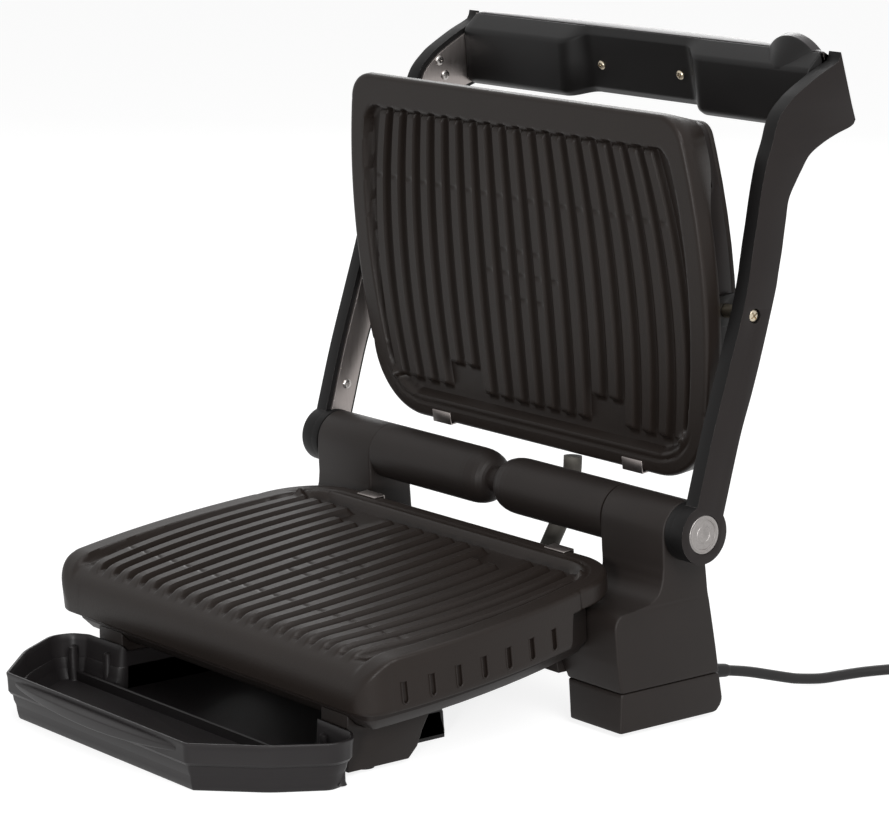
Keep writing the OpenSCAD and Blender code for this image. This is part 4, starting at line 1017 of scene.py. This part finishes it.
# Handle sections as (outward, up) from the middle of the control face, with the radius of each corner
GRIP_BOX = [(-3.7, 21.6, 0.6), (-4.4, 21.6, 1.0), (-17.2, 15.7, 5.0), (-24.0, -17.0, 4.5),
            (-20.0, -21.5, 3.0), (-3.7, -21.6, 0.6)]
GRIP_RECESS = [(-3.7, 21.6, 0.6), (-4.0, 21.6, 0.8), (-7.5, 17.8, 2.6), (-11.3, -16.5, 3.0),
               (-8.5, -21.5, 2.0), (-3.7, -21.6, 0.6)]
# Depth of the panel behind its face, and the heights of the keys and of the indicator on it
FASCIA_T, KEY_V, BOSS_V = 3.0, -2.0, 5.87
KEYS = ("power_key", "frozen_key", "program_key_1", "program_key_2", "program_key_3", "program_key_4")


def middle_x(node):
    """Middle of a CAD node from left to right, in millimetres."""
    low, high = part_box(node)
    return (low.x + high.x) / 2 / MM


def panel_disc(name, profile, finish):
    """A lathe shape about the indicator's axis: profile of (out from the control face, radius)."""
    points, faces = revolved(profile)
    x = middle_x("indicator_lens")
    points = [(b + x, a, c + BOSS_V) for a, b, c in points]
    make_piece(name, placed(points, PANEL_AT, PANEL_TILT), faces, "lid_arms", finish)


def build_handle():
    """The handle bar with its finger recess and the round boss of the indicator."""
    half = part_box("handle_shell")[1].x / MM
    box, recess = np.array(filleted(GRIP_BOX)), np.array(filleted(GRIP_RECESS))
    stops = [half, half - 0.4, half - 1.2] + list(np.linspace(half - 6, 72, 12))
    stops += list(np.linspace(69.5, 41.5, 36)) + [30, 10]
    rings = []
    for x in stops + [-s for s in reversed(stops)]:
        away = abs(x)
        share = float(smooth(away, 44.4, 66.4))
        # the lower corners start their bend a little further out than the upper ones
        lean = smooth(np.array([float(smooth(away + 0.07 * (w[1] + 20), 43.4, 67.4)) for w in box]), 0, 1)
        section = recess + (box - recess) * (0.35 * share + 0.65 * lean)[:, None]
        shrink = 0.0 if away < half - 0.9 else (0.25 if away < half - 0.2 else 0.9)
        if shrink:
            section = np.array(grown([tuple(p) for p in section], -shrink))
        rings.append([(x, w, v) for w, v in section])
    verts, faces = skinned(rings)
    make_piece("handle_bar", placed(verts, PANEL_AT, PANEL_TILT), faces, "lid_arms", "handle", 42,
               ("handle_shell",))
    panel_disc("indicator_boss", [(-17.2, 0), (-17.2, 9.0), (-16.2, 10.8), (-14, 13.9), (-10, 17.9),
                                  (-6.5, 21.1), (-4.6, 22.8), (-3.6, 23.6), (-3.1, 23.9), (-3.1, 0)],
               "handle")


def build_fascia():
    """The bowed control panel on the outer side of the handle, with a window for each key."""
    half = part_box("control_fascia")[1].x / MM - 0.4
    tall, bow = math.hypot(PANEL_RUN, PANEL_RISE) / 2, size("panel_bow")
    bow_r = (half ** 2 + bow ** 2) / (2 * bow)
    rings = []
    for x in np.linspace(-half, half, 81):
        out = math.sqrt(bow_r ** 2 - x ** 2) - bow_r + bow
        shrink = 0.5 if abs(x) > half - 0.1 else 0.0
        corners = [(-FASCIA_T, tall - shrink, 0.5), (-FASCIA_T, -tall + shrink, 0.5),
                   (out - shrink, -tall + shrink, 1.4), (out - shrink, tall - shrink, 1.4)]
        rings.append([(x, w, v) for w, v in filleted(corners, 4)])
    verts, faces = skinned(rings)
    made = make_piece("control_panel", placed(verts, PANEL_AT, PANEL_TILT), faces, None, "fascia")
    tools = []
    for key in KEYS:
        corners = [(middle_x(key) + a, w, KEY_V + b) for w in (-FASCIA_T - 1, 9.0)
                   for a, b in ((-10, -5.5), (10, -5.5), (10, 5.5), (-10, 5.5))]
        tools.append(make_piece("window", placed(corners, PANEL_AT, PANEL_TILT), BLOCK, None, "fascia"))
    cut_out(made, tools)
    finish_piece(made, "lid_arms", "fascia", 42, ("control_fascia",))
    panel_disc("indicator_disc", [(-FASCIA_T, 0), (-FASCIA_T, 23.7), (-2.7, 24), (2.3, 24), (2.8, 23.8),
                                  (3, 23.3), (3, 19.2), (2.8, 19), (1.6, 19), (1.6, 0)], "fascia")


# ---------------------------------------------------------------- pillars and drip tray

# Side view of a pillar: (z, front y, rear y) from the foot up to the boss
PILLAR = [(-115.0, -49.0, 25.0), (-114.4, -49.1, 27.6), (-111.0, -49.1, 31.0), (-107.5, -48.9, 32.2),
          (-98, -48.6, 30.4), (-91.2, -48.4, 29.1), (-90.8, -48.4, 29.0), (-86, -49.4, 28.3),
          (-73.2, -51.6, 26.0), (-60, -52.9, 23.4), (-53.5, -53.6, 22.1), (-51.1, -53.7, 21.6),
          (-48.2, -53.2, 21.0), (-45.6, -51.9, 20.5), (-44.0, -49.6, 20.1), (-43.1, -45.8, 19.9),
          (-42.2, -38.5, 19.6), (-41.3, -31.5, 19.4), (-40.3, -27.2, 19.2), (-38.6, -23.8, 18.9),
          (-36.3, -21, 18.6), (-33, -18.7, 18.2), (-28.3, -17.2, 17.6), (-21, -16.6, 16.6),
          (-14, -17.0, 16.9), (-8, -17.3, 17.1), (-3, -17.5, 17.3)]
INNER_FACE = ((-120.0, 122.0), (-91.6, 118.4), (-81.0, 115.0), (-26.0, 112.0), (-20.0, 111.0), (40.0, 111.0))


def pillar_rings(levels, sign, out_x, top, bottom):
    """Rounded rectangles up a pillar between two levels."""
    heights, fronts, rears = zip(*levels)
    wanted = [bottom, bottom + 0.3, bottom + 0.9] + [z for z in np.arange(bottom + 2, top - 1.5, 1.6)]
    wanted = sorted([z for z in wanted if z < top - 1] + [top - 0.9, top - 0.3, top])
    rings = []
    for z in wanted:
        near_end = min(z - bottom, top - z)
        shrink = 0.9 if near_end < 0.1 else (0.25 if near_end < 0.6 else 0.0)
        front = float(np.interp(z, heights, fronts)) + shrink
        rear = float(np.interp(z, heights, rears)) - shrink
        inner = float(np.interp(z, *zip(*INNER_FACE))) + shrink
        outer = out_x - shrink
        corners = [(inner, front, 2.0), (outer, front, 1.6), (outer, rear, 1.6), (inner, rear, 2.0)]
        rings.append([(sign * x, y, z) for x, y in filleted(corners, 4)])
    return rings


def build_pillars():
    """Pillars, their feet and the round hubs that the arms turn on."""
    heights = list(np.arange(0, 15, 1.5)) + [15.6, 16.4, 17.0, 17.3, 17.44]
    reach = [math.sqrt(max(17.5 ** 2 - z * z, 1.0)) for z in heights]
    boss = [(z, -y, y) for z, y in zip(heights, reach)]
    out_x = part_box("right_pillar")[1].x / MM
    for side, sign in (("left", -1), ("right", 1)):
        for levels, top, bottom, name, node in ((PILLAR + boss, 17.44, -90.75, "_pillar_shell", "_pillar"),
                                                (PILLAR, -91.15, -115.0, "_foot_shell", "_pillar_foot")):
            verts, faces = skinned(pillar_rings(levels, sign, out_x, top, bottom))
            make_piece(side + name, placed(verts), faces, "base", "base", 35, (side + node,))


# Drip tray plan, right half, from the front centre round to the tongue:
# (x, y, corner radius, inset share, rim drop)
TRAY_PLAN = [(92, -304.5, 7, 1, 0), (125.5, -271, 60, 1, 0), (145.5, -238.5, 20, 1, 0), (142, -225, 10, 1, 0),
             (132.5, -218.6, 8, 1, 0), (99, -217.2, 3, 0, 0), (99, -122, 7, 0, 1)]
TRAY_TOP = -88.5


def tray_ring(inset, z):
    """The tray's plan drawn in by inset; the tongue's walls stay upright and its rim lies lower."""
    corners = [(x, y, r, k) for x, y, r, k, _ in TRAY_PLAN]
    corners += [(-x, y, r, k) for x, y, r, k, _ in reversed(TRAY_PLAN)]
    # an edge belongs to its first corner going round; on the mirrored half it belongs to the second
    half = len(TRAY_PLAN)
    shares = [corners[i][3] for i in range(half - 1)] + [0]
    shares += [corners[i + 1][3] for i in range(half, 2 * half - 1)] + [1]
    wall = min(inset, 2.0)
    lines = []
    for i, (x, y, _, _) in enumerate(corners):
        nx, ny, _, _ = corners[(i + 1) % len(corners)]
        run = np.array((nx - x, ny - y), float)
        run /= np.linalg.norm(run)
        inward = np.array((-run[1], run[0]))
        move = inset if shares[i] else wall
        lines.append((np.array((x, y)) + inward * move, run))
    points = []
    for i, (_, _, r, _) in enumerate(corners):
        p, u = lines[i - 1]
        q, v = lines[i]
        cross = u[0] * v[1] - u[1] * v[0]
        at = p + u * (((q - p)[0] * v[1] - (q - p)[1] * v[0]) / cross) if abs(cross) > 1e-6 else q
        bend = 1 if i in (half - 2, half + 1) else -1
        points.append((at[0], at[1], max(r + bend * inset, 0.6)))
    ring = filleted(points, 7)
    drop = 6.0 * smooth(np.array([p[1] for p in ring]), -218.4, -212.0)
    return [(x, y, TRAY_TOP + min(z, -float(d) + max(z, -1.2) * 1.0)) for (x, y), d in zip(ring, drop)]


def build_tray():
    """The drip tray: a stepped wall, a rolled rim, ribs in its rear corners and a low weir on its floor."""
    bottom = (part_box("drip_tray")[0].z - HINGE.z) / MM - TRAY_TOP
    profile = [(9.0, bottom), (7.6, bottom + 0.3), (6.7, bottom + 1.4), (5.9, bottom + 5), (4.4, -14.6),
               (4.0, -13.9), (2.4, -13.5), (1.9, -13.0), (1.4, -12.2), (0.9, -11.6), (0.5, -4), (0.2, -2.2),
               (0.0, -1.5), (0.0, -0.7), (0.4, -0.15), (1.0, 0), (1.6, -0.15), (2.0, -0.7), (2.4, -4),
               (3.2, -13), (4.0, -17.5), (7.4, bottom + 4.4), (8.4, bottom + 2.7), (10.2, bottom + 2.1)]
    verts, faces = skinned([tray_ring(inset, z) for inset, z in profile])
    make_piece("tray_moulding", placed(verts), faces, "tray", "tray", 34, ("drip_tray",))
    floor = TRAY_TOP + bottom + 2
    turn = np.linspace(0, 2 * math.pi, 20, endpoint=False)
    parts = []
    for x, y in ((-134.5, -229.5), (-109.0, -221.0), (134.5, -229.5), (109.0, -221.0)):
        levels = ((floor - 0.6, 4.0), (floor + 1.2, 3.2), (TRAY_TOP - 7, 2.6), (TRAY_TOP - 6, 1.2))
        parts.append(skinned([[(x + r * math.cos(a), y + r * math.sin(a), z) for a in turn]
                              for z, r in levels]))
    weir = ((0, -0.6), (0.4, 5.6), (1.0, 6.2), (1.8, 6.2), (2.4, 5.6), (2.8, -0.6))
    parts.append(skinned([[(x, -229.5 + dy, floor + dz) for dy, dz in weir] for x in (-131, 131)]))
    verts, faces = joined(parts)
    make_piece("tray_ribs", placed(verts), faces, "tray", "tray")


def build_tray_grip():
    """The lip under the middle of the tray's front rim, which two fingers pull on."""
    rings = []
    for x in np.linspace(-82, 82, 45):
        reach = 6.0 * (1 - (x / 82) ** 2) ** 0.75
        drop = 5.0 * (1 - (x / 82) ** 2)
        corners = [(-303.0, TRAY_TOP - 2.2, 0.3), (-304.2 - reach, TRAY_TOP - 4.6, 1.0),
                   (-304.0 - 0.85 * reach, TRAY_TOP - 6.4 - drop, 1.4), (-302.4, TRAY_TOP - 8.0 - drop, 0.3)]
        rings.append([(x, y, z) for y, z in filleted(corners, 4)])
    verts, faces = skinned(rings)
    make_piece("tray_grip_lip", placed(verts), faces, "tray", "tray")


def build_slot_rims():
    """Fine raised rims round the slots in both long sides of the lower plate."""
    half_z = (SLOT_TOP - SLOT_END) / 2
    line = [(0, SLOT_HALF, half_z), (0, SLOT_HALF, 0), (0, SLOT_HALF, 2 - half_z)]
    line += [(0, SLOT_HALF * math.cos(a), 2 - half_z - SLOT_HALF * math.sin(a))
             for a in np.linspace(0.3, math.pi - 0.3, 7)]
    line += [(0, -SLOT_HALF, 2 - half_z), (0, -SLOT_HALF, 0), (0, -SLOT_HALF, half_z)]
    verts, faces = tube_mesh(line, 0.55, 10)
    source = make_piece("slot_rim_source", np.array(verts) * MM, faces, None, "coating")
    spots = []
    for s in SLOTS:
        reach = float(LOWER.half_width(np.array(s), 0.0)) - 0.1
        spots += [(side * reach, -s, (SLOT_TOP + SLOT_END) / 2) for side in (-1, 1)]
    repeated("slot_rims", source, placed(spots, LOWER_AT, LOWER_TILT), (math.radians(LOWER_TILT), 0, 0),
             "base", "coating", 1, 0.0)
    bpy.data.objects.remove(source)


# ---------------------------------------------------------------- pieces that keep their CAD shape

def build_lid_shell():
    """The lid's outer shell: a brushed steel face in a black frame."""
    made = rounded_solid("lid_cover", "lid_shell", "lid_metal", 1.2)
    made.data.materials.append(FINISH["base"])
    back = Vector((0, -math.sin(math.radians(UPPER_TILT)), math.cos(math.radians(UPPER_TILT))))
    for face in made.data.polygons:
        if face.normal.dot(back) < 0.8:
            face.material_index = 1


KEPT = {
    "base": ("base_tub", "left_front_leg", "right_front_leg", "left_barrel", "right_barrel", "rear_housing",
             "base_bottom_cover", "hose_grommet"),
    "arm": ("upper_housing",),
    "button": KEYS[1:] + ("lower_release", "upper_release"),
    "power": KEYS[:1],
    "rubber": ("rubber_feet",),
    "terminal": ("terminal_block",),
    "board": ("control_board",),
    "lens": ("indicator_lens",),
    "steel": ("lower_plate_tabs", "upper_plate_tabs"),
    "painted": ("pivot_brackets",),
    "turned": ("hinge_shaft",),
    "zinc": ("pivot_bolts",),
    "heater": ("lower_heater", "upper_heater"),
    "foil": ("lower_reflector", "upper_reflector"),
    "bronze": ("hinge_bushes",),
    "brass": ("plug_pins",),
}
# Rounding of the pieces whose edges show
EDGES = {"base_tub": 1.2, "left_front_leg": 1.2, "right_front_leg": 1.2, "upper_housing": 0.8,
         "rear_housing": 1.0, "base_bottom_cover": 0.6, "lower_plate_tabs": 0.3, "upper_plate_tabs": 0.3,
         "pivot_brackets": 0.3, "lower_release": 0.6, "upper_release": 0.6, **dict.fromkeys(KEYS, 0.6)}


def finish_solids():
    """Gives every CAD solid its finish, and rounds the moulded and stamped edges."""
    for finish, nodes in KEPT.items():
        for node in nodes:
            source = NODES[node]
            source.data.materials.clear()
            source.data.materials.append(FINISH[finish])
            if node in EDGES:
                rounded_solid(node, node + "_moulding", finish, EDGES[node])
            else:
                source.data.shade_smooth()
                source.data.set_sharp_from_angle(angle=math.radians(35))


# ---------------------------------------------------------------- stage

def build_camera():
    """A long lens from the front right, a little above."""
    data = bpy.data.cameras.new("camera")
    data.lens, data.sensor_width, data.sensor_fit, data.clip_end = 144.57, 36.0, "HORIZONTAL", 50.0
    made = bpy.data.objects.new("camera", data)
    bpy.context.scene.collection.objects.link(made)
    azimuth, rise = math.radians(51.0), math.radians(11.7)
    back = Vector((math.sin(azimuth) * math.cos(rise), -math.cos(azimuth) * math.cos(rise), math.sin(rise)))
    right = Vector((math.cos(azimuth), math.sin(azimuth), 0))
    turned = Matrix((right, back.cross(right), back)).transposed().to_4x4()
    made.matrix_world = Matrix.Translation(HINGE + Vector((1649.0, -1381.1, 490.8)) * MM) @ turned
    bpy.context.scene.camera = made


def add_lamp(name, at, aim, size, power):
    """A square soft lamp that looks at a point."""
    data = bpy.data.lights.new(name, "AREA")
    data.shape, data.size, data.energy = "SQUARE", size, power
    made = bpy.data.objects.new(name, data)
    made.location = at
    made.rotation_euler = (Vector(aim) - Vector(at)).to_track_quat("-Z", "Y").to_euler()
    bpy.context.scene.collection.objects.link(made)


def seen_directly(tree):
    """1 for camera, glossy and transmission rays, 0 for diffuse light."""
    path = add_node(tree, "ShaderNodeLightPath")
    seen = path.outputs["Is Camera Ray"]
    for ray in ("Is Glossy Ray", "Is Transmission Ray"):
        seen = add_node(tree, "ShaderNodeMath", links={0: seen, 1: path.outputs[ray]},
                        operation="MAXIMUM").outputs[0]
    return seen


def build_stage(settings):
    """White floor that keeps the shadow, white surroundings and soft lamps."""
    scene = bpy.context.scene
    scene.view_settings.view_transform = "Standard"
    world = bpy.data.worlds.new("studio")
    scene.world = world
    world.use_nodes = True
    tree = world.node_tree
    tree.nodes.clear()
    strength = add_node(tree, "ShaderNodeMapRange", {"To Min": settings.ambient, "To Max": 1.0},
                        {"Value": seen_directly(tree)})
    glow = add_node(tree, "ShaderNodeBackground", {"Color": (1, 1, 1, 1)},
                    {"Strength": strength.outputs["Result"]})
    add_node(tree, "ShaderNodeOutputWorld", links={"Surface": glow.outputs[0]})

    floor = bpy.data.meshes.new("floor")
    floor.from_pydata([(-8, -8, 0), (8, -8, 0), (8, 8, 0), (-8, 8, 0)], [], [(0, 1, 2, 3)])
    made = bpy.data.objects.new("floor", floor)
    scene.collection.objects.link(made)
    paper = bpy.data.materials.new("white_paper_floor")
    paper.use_nodes = True
    tree = paper.node_tree
    tree.nodes.clear()
    matt = add_node(tree, "ShaderNodeBsdfDiffuse", {"Color": (0.34, 0.34, 0.34, 1)})
    lift = add_node(tree, "ShaderNodeMath", {1: 0.84}, {0: seen_directly(tree)}, operation="MULTIPLY")
    shine = add_node(tree, "ShaderNodeEmission", {"Color": (1, 1, 1, 1)}, {"Strength": lift.outputs[0]})
    both = add_node(tree, "ShaderNodeAddShader", links={0: matt.outputs[0], 1: shine.outputs[0]})
    add_node(tree, "ShaderNodeOutputMaterial", links={"Surface": both.outputs[0]})
    floor.materials.append(paper)
    middle = (0, 0, 0.18)
    add_lamp("key_lamp", (1.9, -0.5, 1.5), middle, 1.2, settings.key_power)
    add_lamp("top_lamp", (-0.3, 0.2, 2.2), middle, 1.6, settings.top_power)
    add_lamp("rear_lamp", (-1.3, 1.5, 1.3), middle, 1.0, settings.rear_power)
    add_lamp("edge_lamp", (1.24, -1.53, 0.35), middle, 0.25, settings.edge_power)


# ---------------------------------------------------------------- add-on

def length(name, description, millimetres, most):
    """A length property with its default in millimetres."""
    return bpy.props.FloatProperty(name=name, description=description, default=millimetres * MM, min=0,
                                   max=most * MM, unit="LENGTH", precision=4)


def colour(name, description, tone_hex):
    """A colour property whose default is an sRGB hex tone."""
    return bpy.props.FloatVectorProperty(name=name, description=description, default=linear(tone_hex), size=4,
                                         min=0, max=1, subtype="COLOR")


def lamp(name, description, watts):
    """A lamp's power property."""
    return bpy.props.FloatProperty(name=name, description=description, default=watts, min=0, unit="POWER")


class GrillSizes(bpy.types.PropertyGroup):
    """Sizes of the forms that the frame doesn't fix"""
    well_depth: length("Well depth", "Depth of a cooking plate below its border", 6.0, 8.0)
    edge_round: length("Plate rounding", "Radius of a cooking plate's upper edge", 2.6, 3.5)
    slot_depth: length("Slot depth", "Depth of the slots in the lower plate's sides", 1.6, 2.4)
    arm_rounding: length("Arm rounding", "Width of the rounding along an arm's corners", 1.15, 1.6)
    panel_bow: length("Panel bow", "How far the middle of the control panel stands out", 4.0, 5.0)
    lead_diameter: length("Lead diameter", "Thickness of the mains lead", 6.6, 7.0)
    hose_diameter: length("Hose diameter", "Thickness of the lid's hose", 11.5, 12.5)


class GrillColours(bpy.types.PropertyGroup):
    """The two near tones of each main finish"""
    housing_dark: colour("Housing, dark", "Base, pillars and barrels: darker tone", "#1b1715")
    housing_pale: colour("Housing, pale", "Base, pillars and barrels: paler tone", "#211c1a")
    arm_dark: colour("Arms, dark", "Arm covers and upper housing: darker tone", "#171312")
    arm_pale: colour("Arms, pale", "Arm covers and upper housing: paler tone", "#1c1716")
    handle_dark: colour("Handle, dark", "Handle bar: darker tone", "#0e0d0d")
    handle_pale: colour("Handle, pale", "Handle bar: paler tone", "#131212")
    tray_dark: colour("Tray, dark", "Drip tray: darker tone", "#191617")
    tray_pale: colour("Tray, pale", "Drip tray: paler tone", "#1f1d1d")
    key_dark: colour("Keys, dark", "Keys and release buttons: darker tone", "#2b2827")
    key_pale: colour("Keys, pale", "Keys and release buttons: paler tone", "#322f2e")
    power_dark: colour("Power key, dark", "Power key: darker tone", "#7d2219")
    power_pale: colour("Power key, pale", "Power key: paler tone", "#8d2a20")
    plate_dark: colour("Plates, dark", "Coating of the cooking plates: darker tone", "#1a1512")
    plate_pale: colour("Plates, pale", "Coating of the cooking plates: paler tone", "#201a17")
    steel_dark: colour("Steel, dark", "Steel of the arms and tabs: darker tone", "#8d8683")
    steel_pale: colour("Steel, pale", "Steel of the arms and tabs: paler tone", "#a39c99")
    lid_dark: colour("Lid, dark", "Steel of the lid: darker tone", "#7f7a78")
    lid_pale: colour("Lid, pale", "Steel of the lid: paler tone", "#989391")
    cap_dark: colour("Caps, dark", "Hinge caps: darker tone", "#7f7b79")
    cap_pale: colour("Caps, pale", "Hinge caps: paler tone", "#a19d9b")


class GrillStage(bpy.types.PropertyGroup):
    """Light of the stage"""
    ambient: bpy.props.FloatProperty(name="Surroundings", description="Diffuse light from all round",
                                     default=0.32, min=0, max=1, subtype="FACTOR")
    key_power: lamp("Key lamp", "Lamp on the right", 35.0)
    top_power: lamp("Top lamp", "Lamp overhead", 13.0)
    rear_power: lamp("Rear lamp", "Lamp behind on the left", 14.0)
    edge_power: lamp("Edge lamp", "Small lamp that draws the edges", 20.0)


class GRILL_OT_stage(bpy.types.Operator):
    """Makes the camera, the floor, the lamps and the surroundings"""
    bl_idname = "grill.stage"
    bl_label = "Stage"

    def execute(self, context):
        build_camera()
        build_stage(context.scene.grill_stage)
        return {"FINISHED"}


class GRILL_OT_finishes(bpy.types.Operator):
    """Makes the finishes of every plastic, metal and rubber piece"""
    bl_idname = "grill.finishes"
    bl_label = "Finishes"

    def execute(self, context):
        FINISH.update(make_finishes(context.scene.grill_colours))
        return {"FINISHED"}


class GRILL_OT_lead(bpy.types.Operator):
    """Lays the mains lead and bends the lid hose"""
    bl_idname = "grill.lead"
    bl_label = "Lead and hose"

    def execute(self, context):
        build_lead()
        build_relief()
        build_hose()
        return {"FINISHED"}


class GRILL_OT_plates(bpy.types.Operator):
    """Casts both ribbed cooking plates"""
    bl_idname = "grill.plates"
    bl_label = "Cooking plates"

    def execute(self, context):
        build_lower_plate()
        build_upper_plate()
        build_slot_rims()
        return {"FINISHED"}


class GRILL_OT_arms(bpy.types.Operator):
    """Makes both lid arms with their steel plates, hinge caps and screws"""
    bl_idname = "grill.arms"
    bl_label = "Arms"

    def execute(self, context):
        build_arms()
        build_caps()
        build_screws()
        return {"FINISHED"}


class GRILL_OT_handle(bpy.types.Operator):
    """Makes the handle bar, its indicator and the control panel"""
    bl_idname = "grill.handle"
    bl_label = "Handle"

    def execute(self, context):
        build_handle()
        build_fascia()
        return {"FINISHED"}


class GRILL_OT_pillars(bpy.types.Operator):
    """Makes the pillars and their feet"""
    bl_idname = "grill.pillars"
    bl_label = "Pillars"

    def execute(self, context):
        build_pillars()
        return {"FINISHED"}


class GRILL_OT_tray(bpy.types.Operator):
    """Makes the drip tray and its pull lip"""
    bl_idname = "grill.tray"
    bl_label = "Drip tray"

    def execute(self, context):
        build_tray()
        build_tray_grip()
        return {"FINISHED"}


class GRILL_OT_solids(bpy.types.Operator):
    """Finishes the remaining mouldings, stampings and turned parts"""
    bl_idname = "grill.solids"
    bl_label = "Mouldings and metal"

    def execute(self, context):
        finish_solids()
        build_lid_shell()
        return {"FINISHED"}


OPERATORS = (GRILL_OT_stage, GRILL_OT_finishes, GRILL_OT_lead, GRILL_OT_plates, GRILL_OT_arms,
             GRILL_OT_handle, GRILL_OT_pillars, GRILL_OT_tray, GRILL_OT_solids)


class GRILL_PT_panel(bpy.types.Panel):
    bl_label = "Contact Grill"
    bl_idname = "GRILL_PT_panel"
    bl_space_type = "VIEW_3D"
    bl_region_type = "UI"
    bl_category = "Grill"

    def draw(self, context):
        for group in GROUPS:
            settings = getattr(context.scene, group)
            for name in type(settings).__annotations__:
                self.layout.prop(settings, name)
        for operator in OPERATORS:
            self.layout.operator(operator.bl_idname)


GROUPS = {"grill_sizes": GrillSizes, "grill_colours": GrillColours, "grill_stage": GrillStage}
CLASSES = tuple(GROUPS.values()) + OPERATORS + (GRILL_PT_panel,)


def register():
    for kind in CLASSES:
        bpy.utils.register_class(kind)
    for group, kind in GROUPS.items():
        setattr(bpy.types.Scene, group, bpy.props.PointerProperty(type=kind))


def unregister():
    for group in GROUPS:
        delattr(bpy.types.Scene, group)
    for kind in reversed(CLASSES):
        bpy.utils.unregister_class(kind)


def main():
    register()
    for operator in OPERATORS:
        group, name = operator.bl_idname.split(".")
        getattr(getattr(bpy.ops, group), name)()


if __name__ == "__main__":
    main()
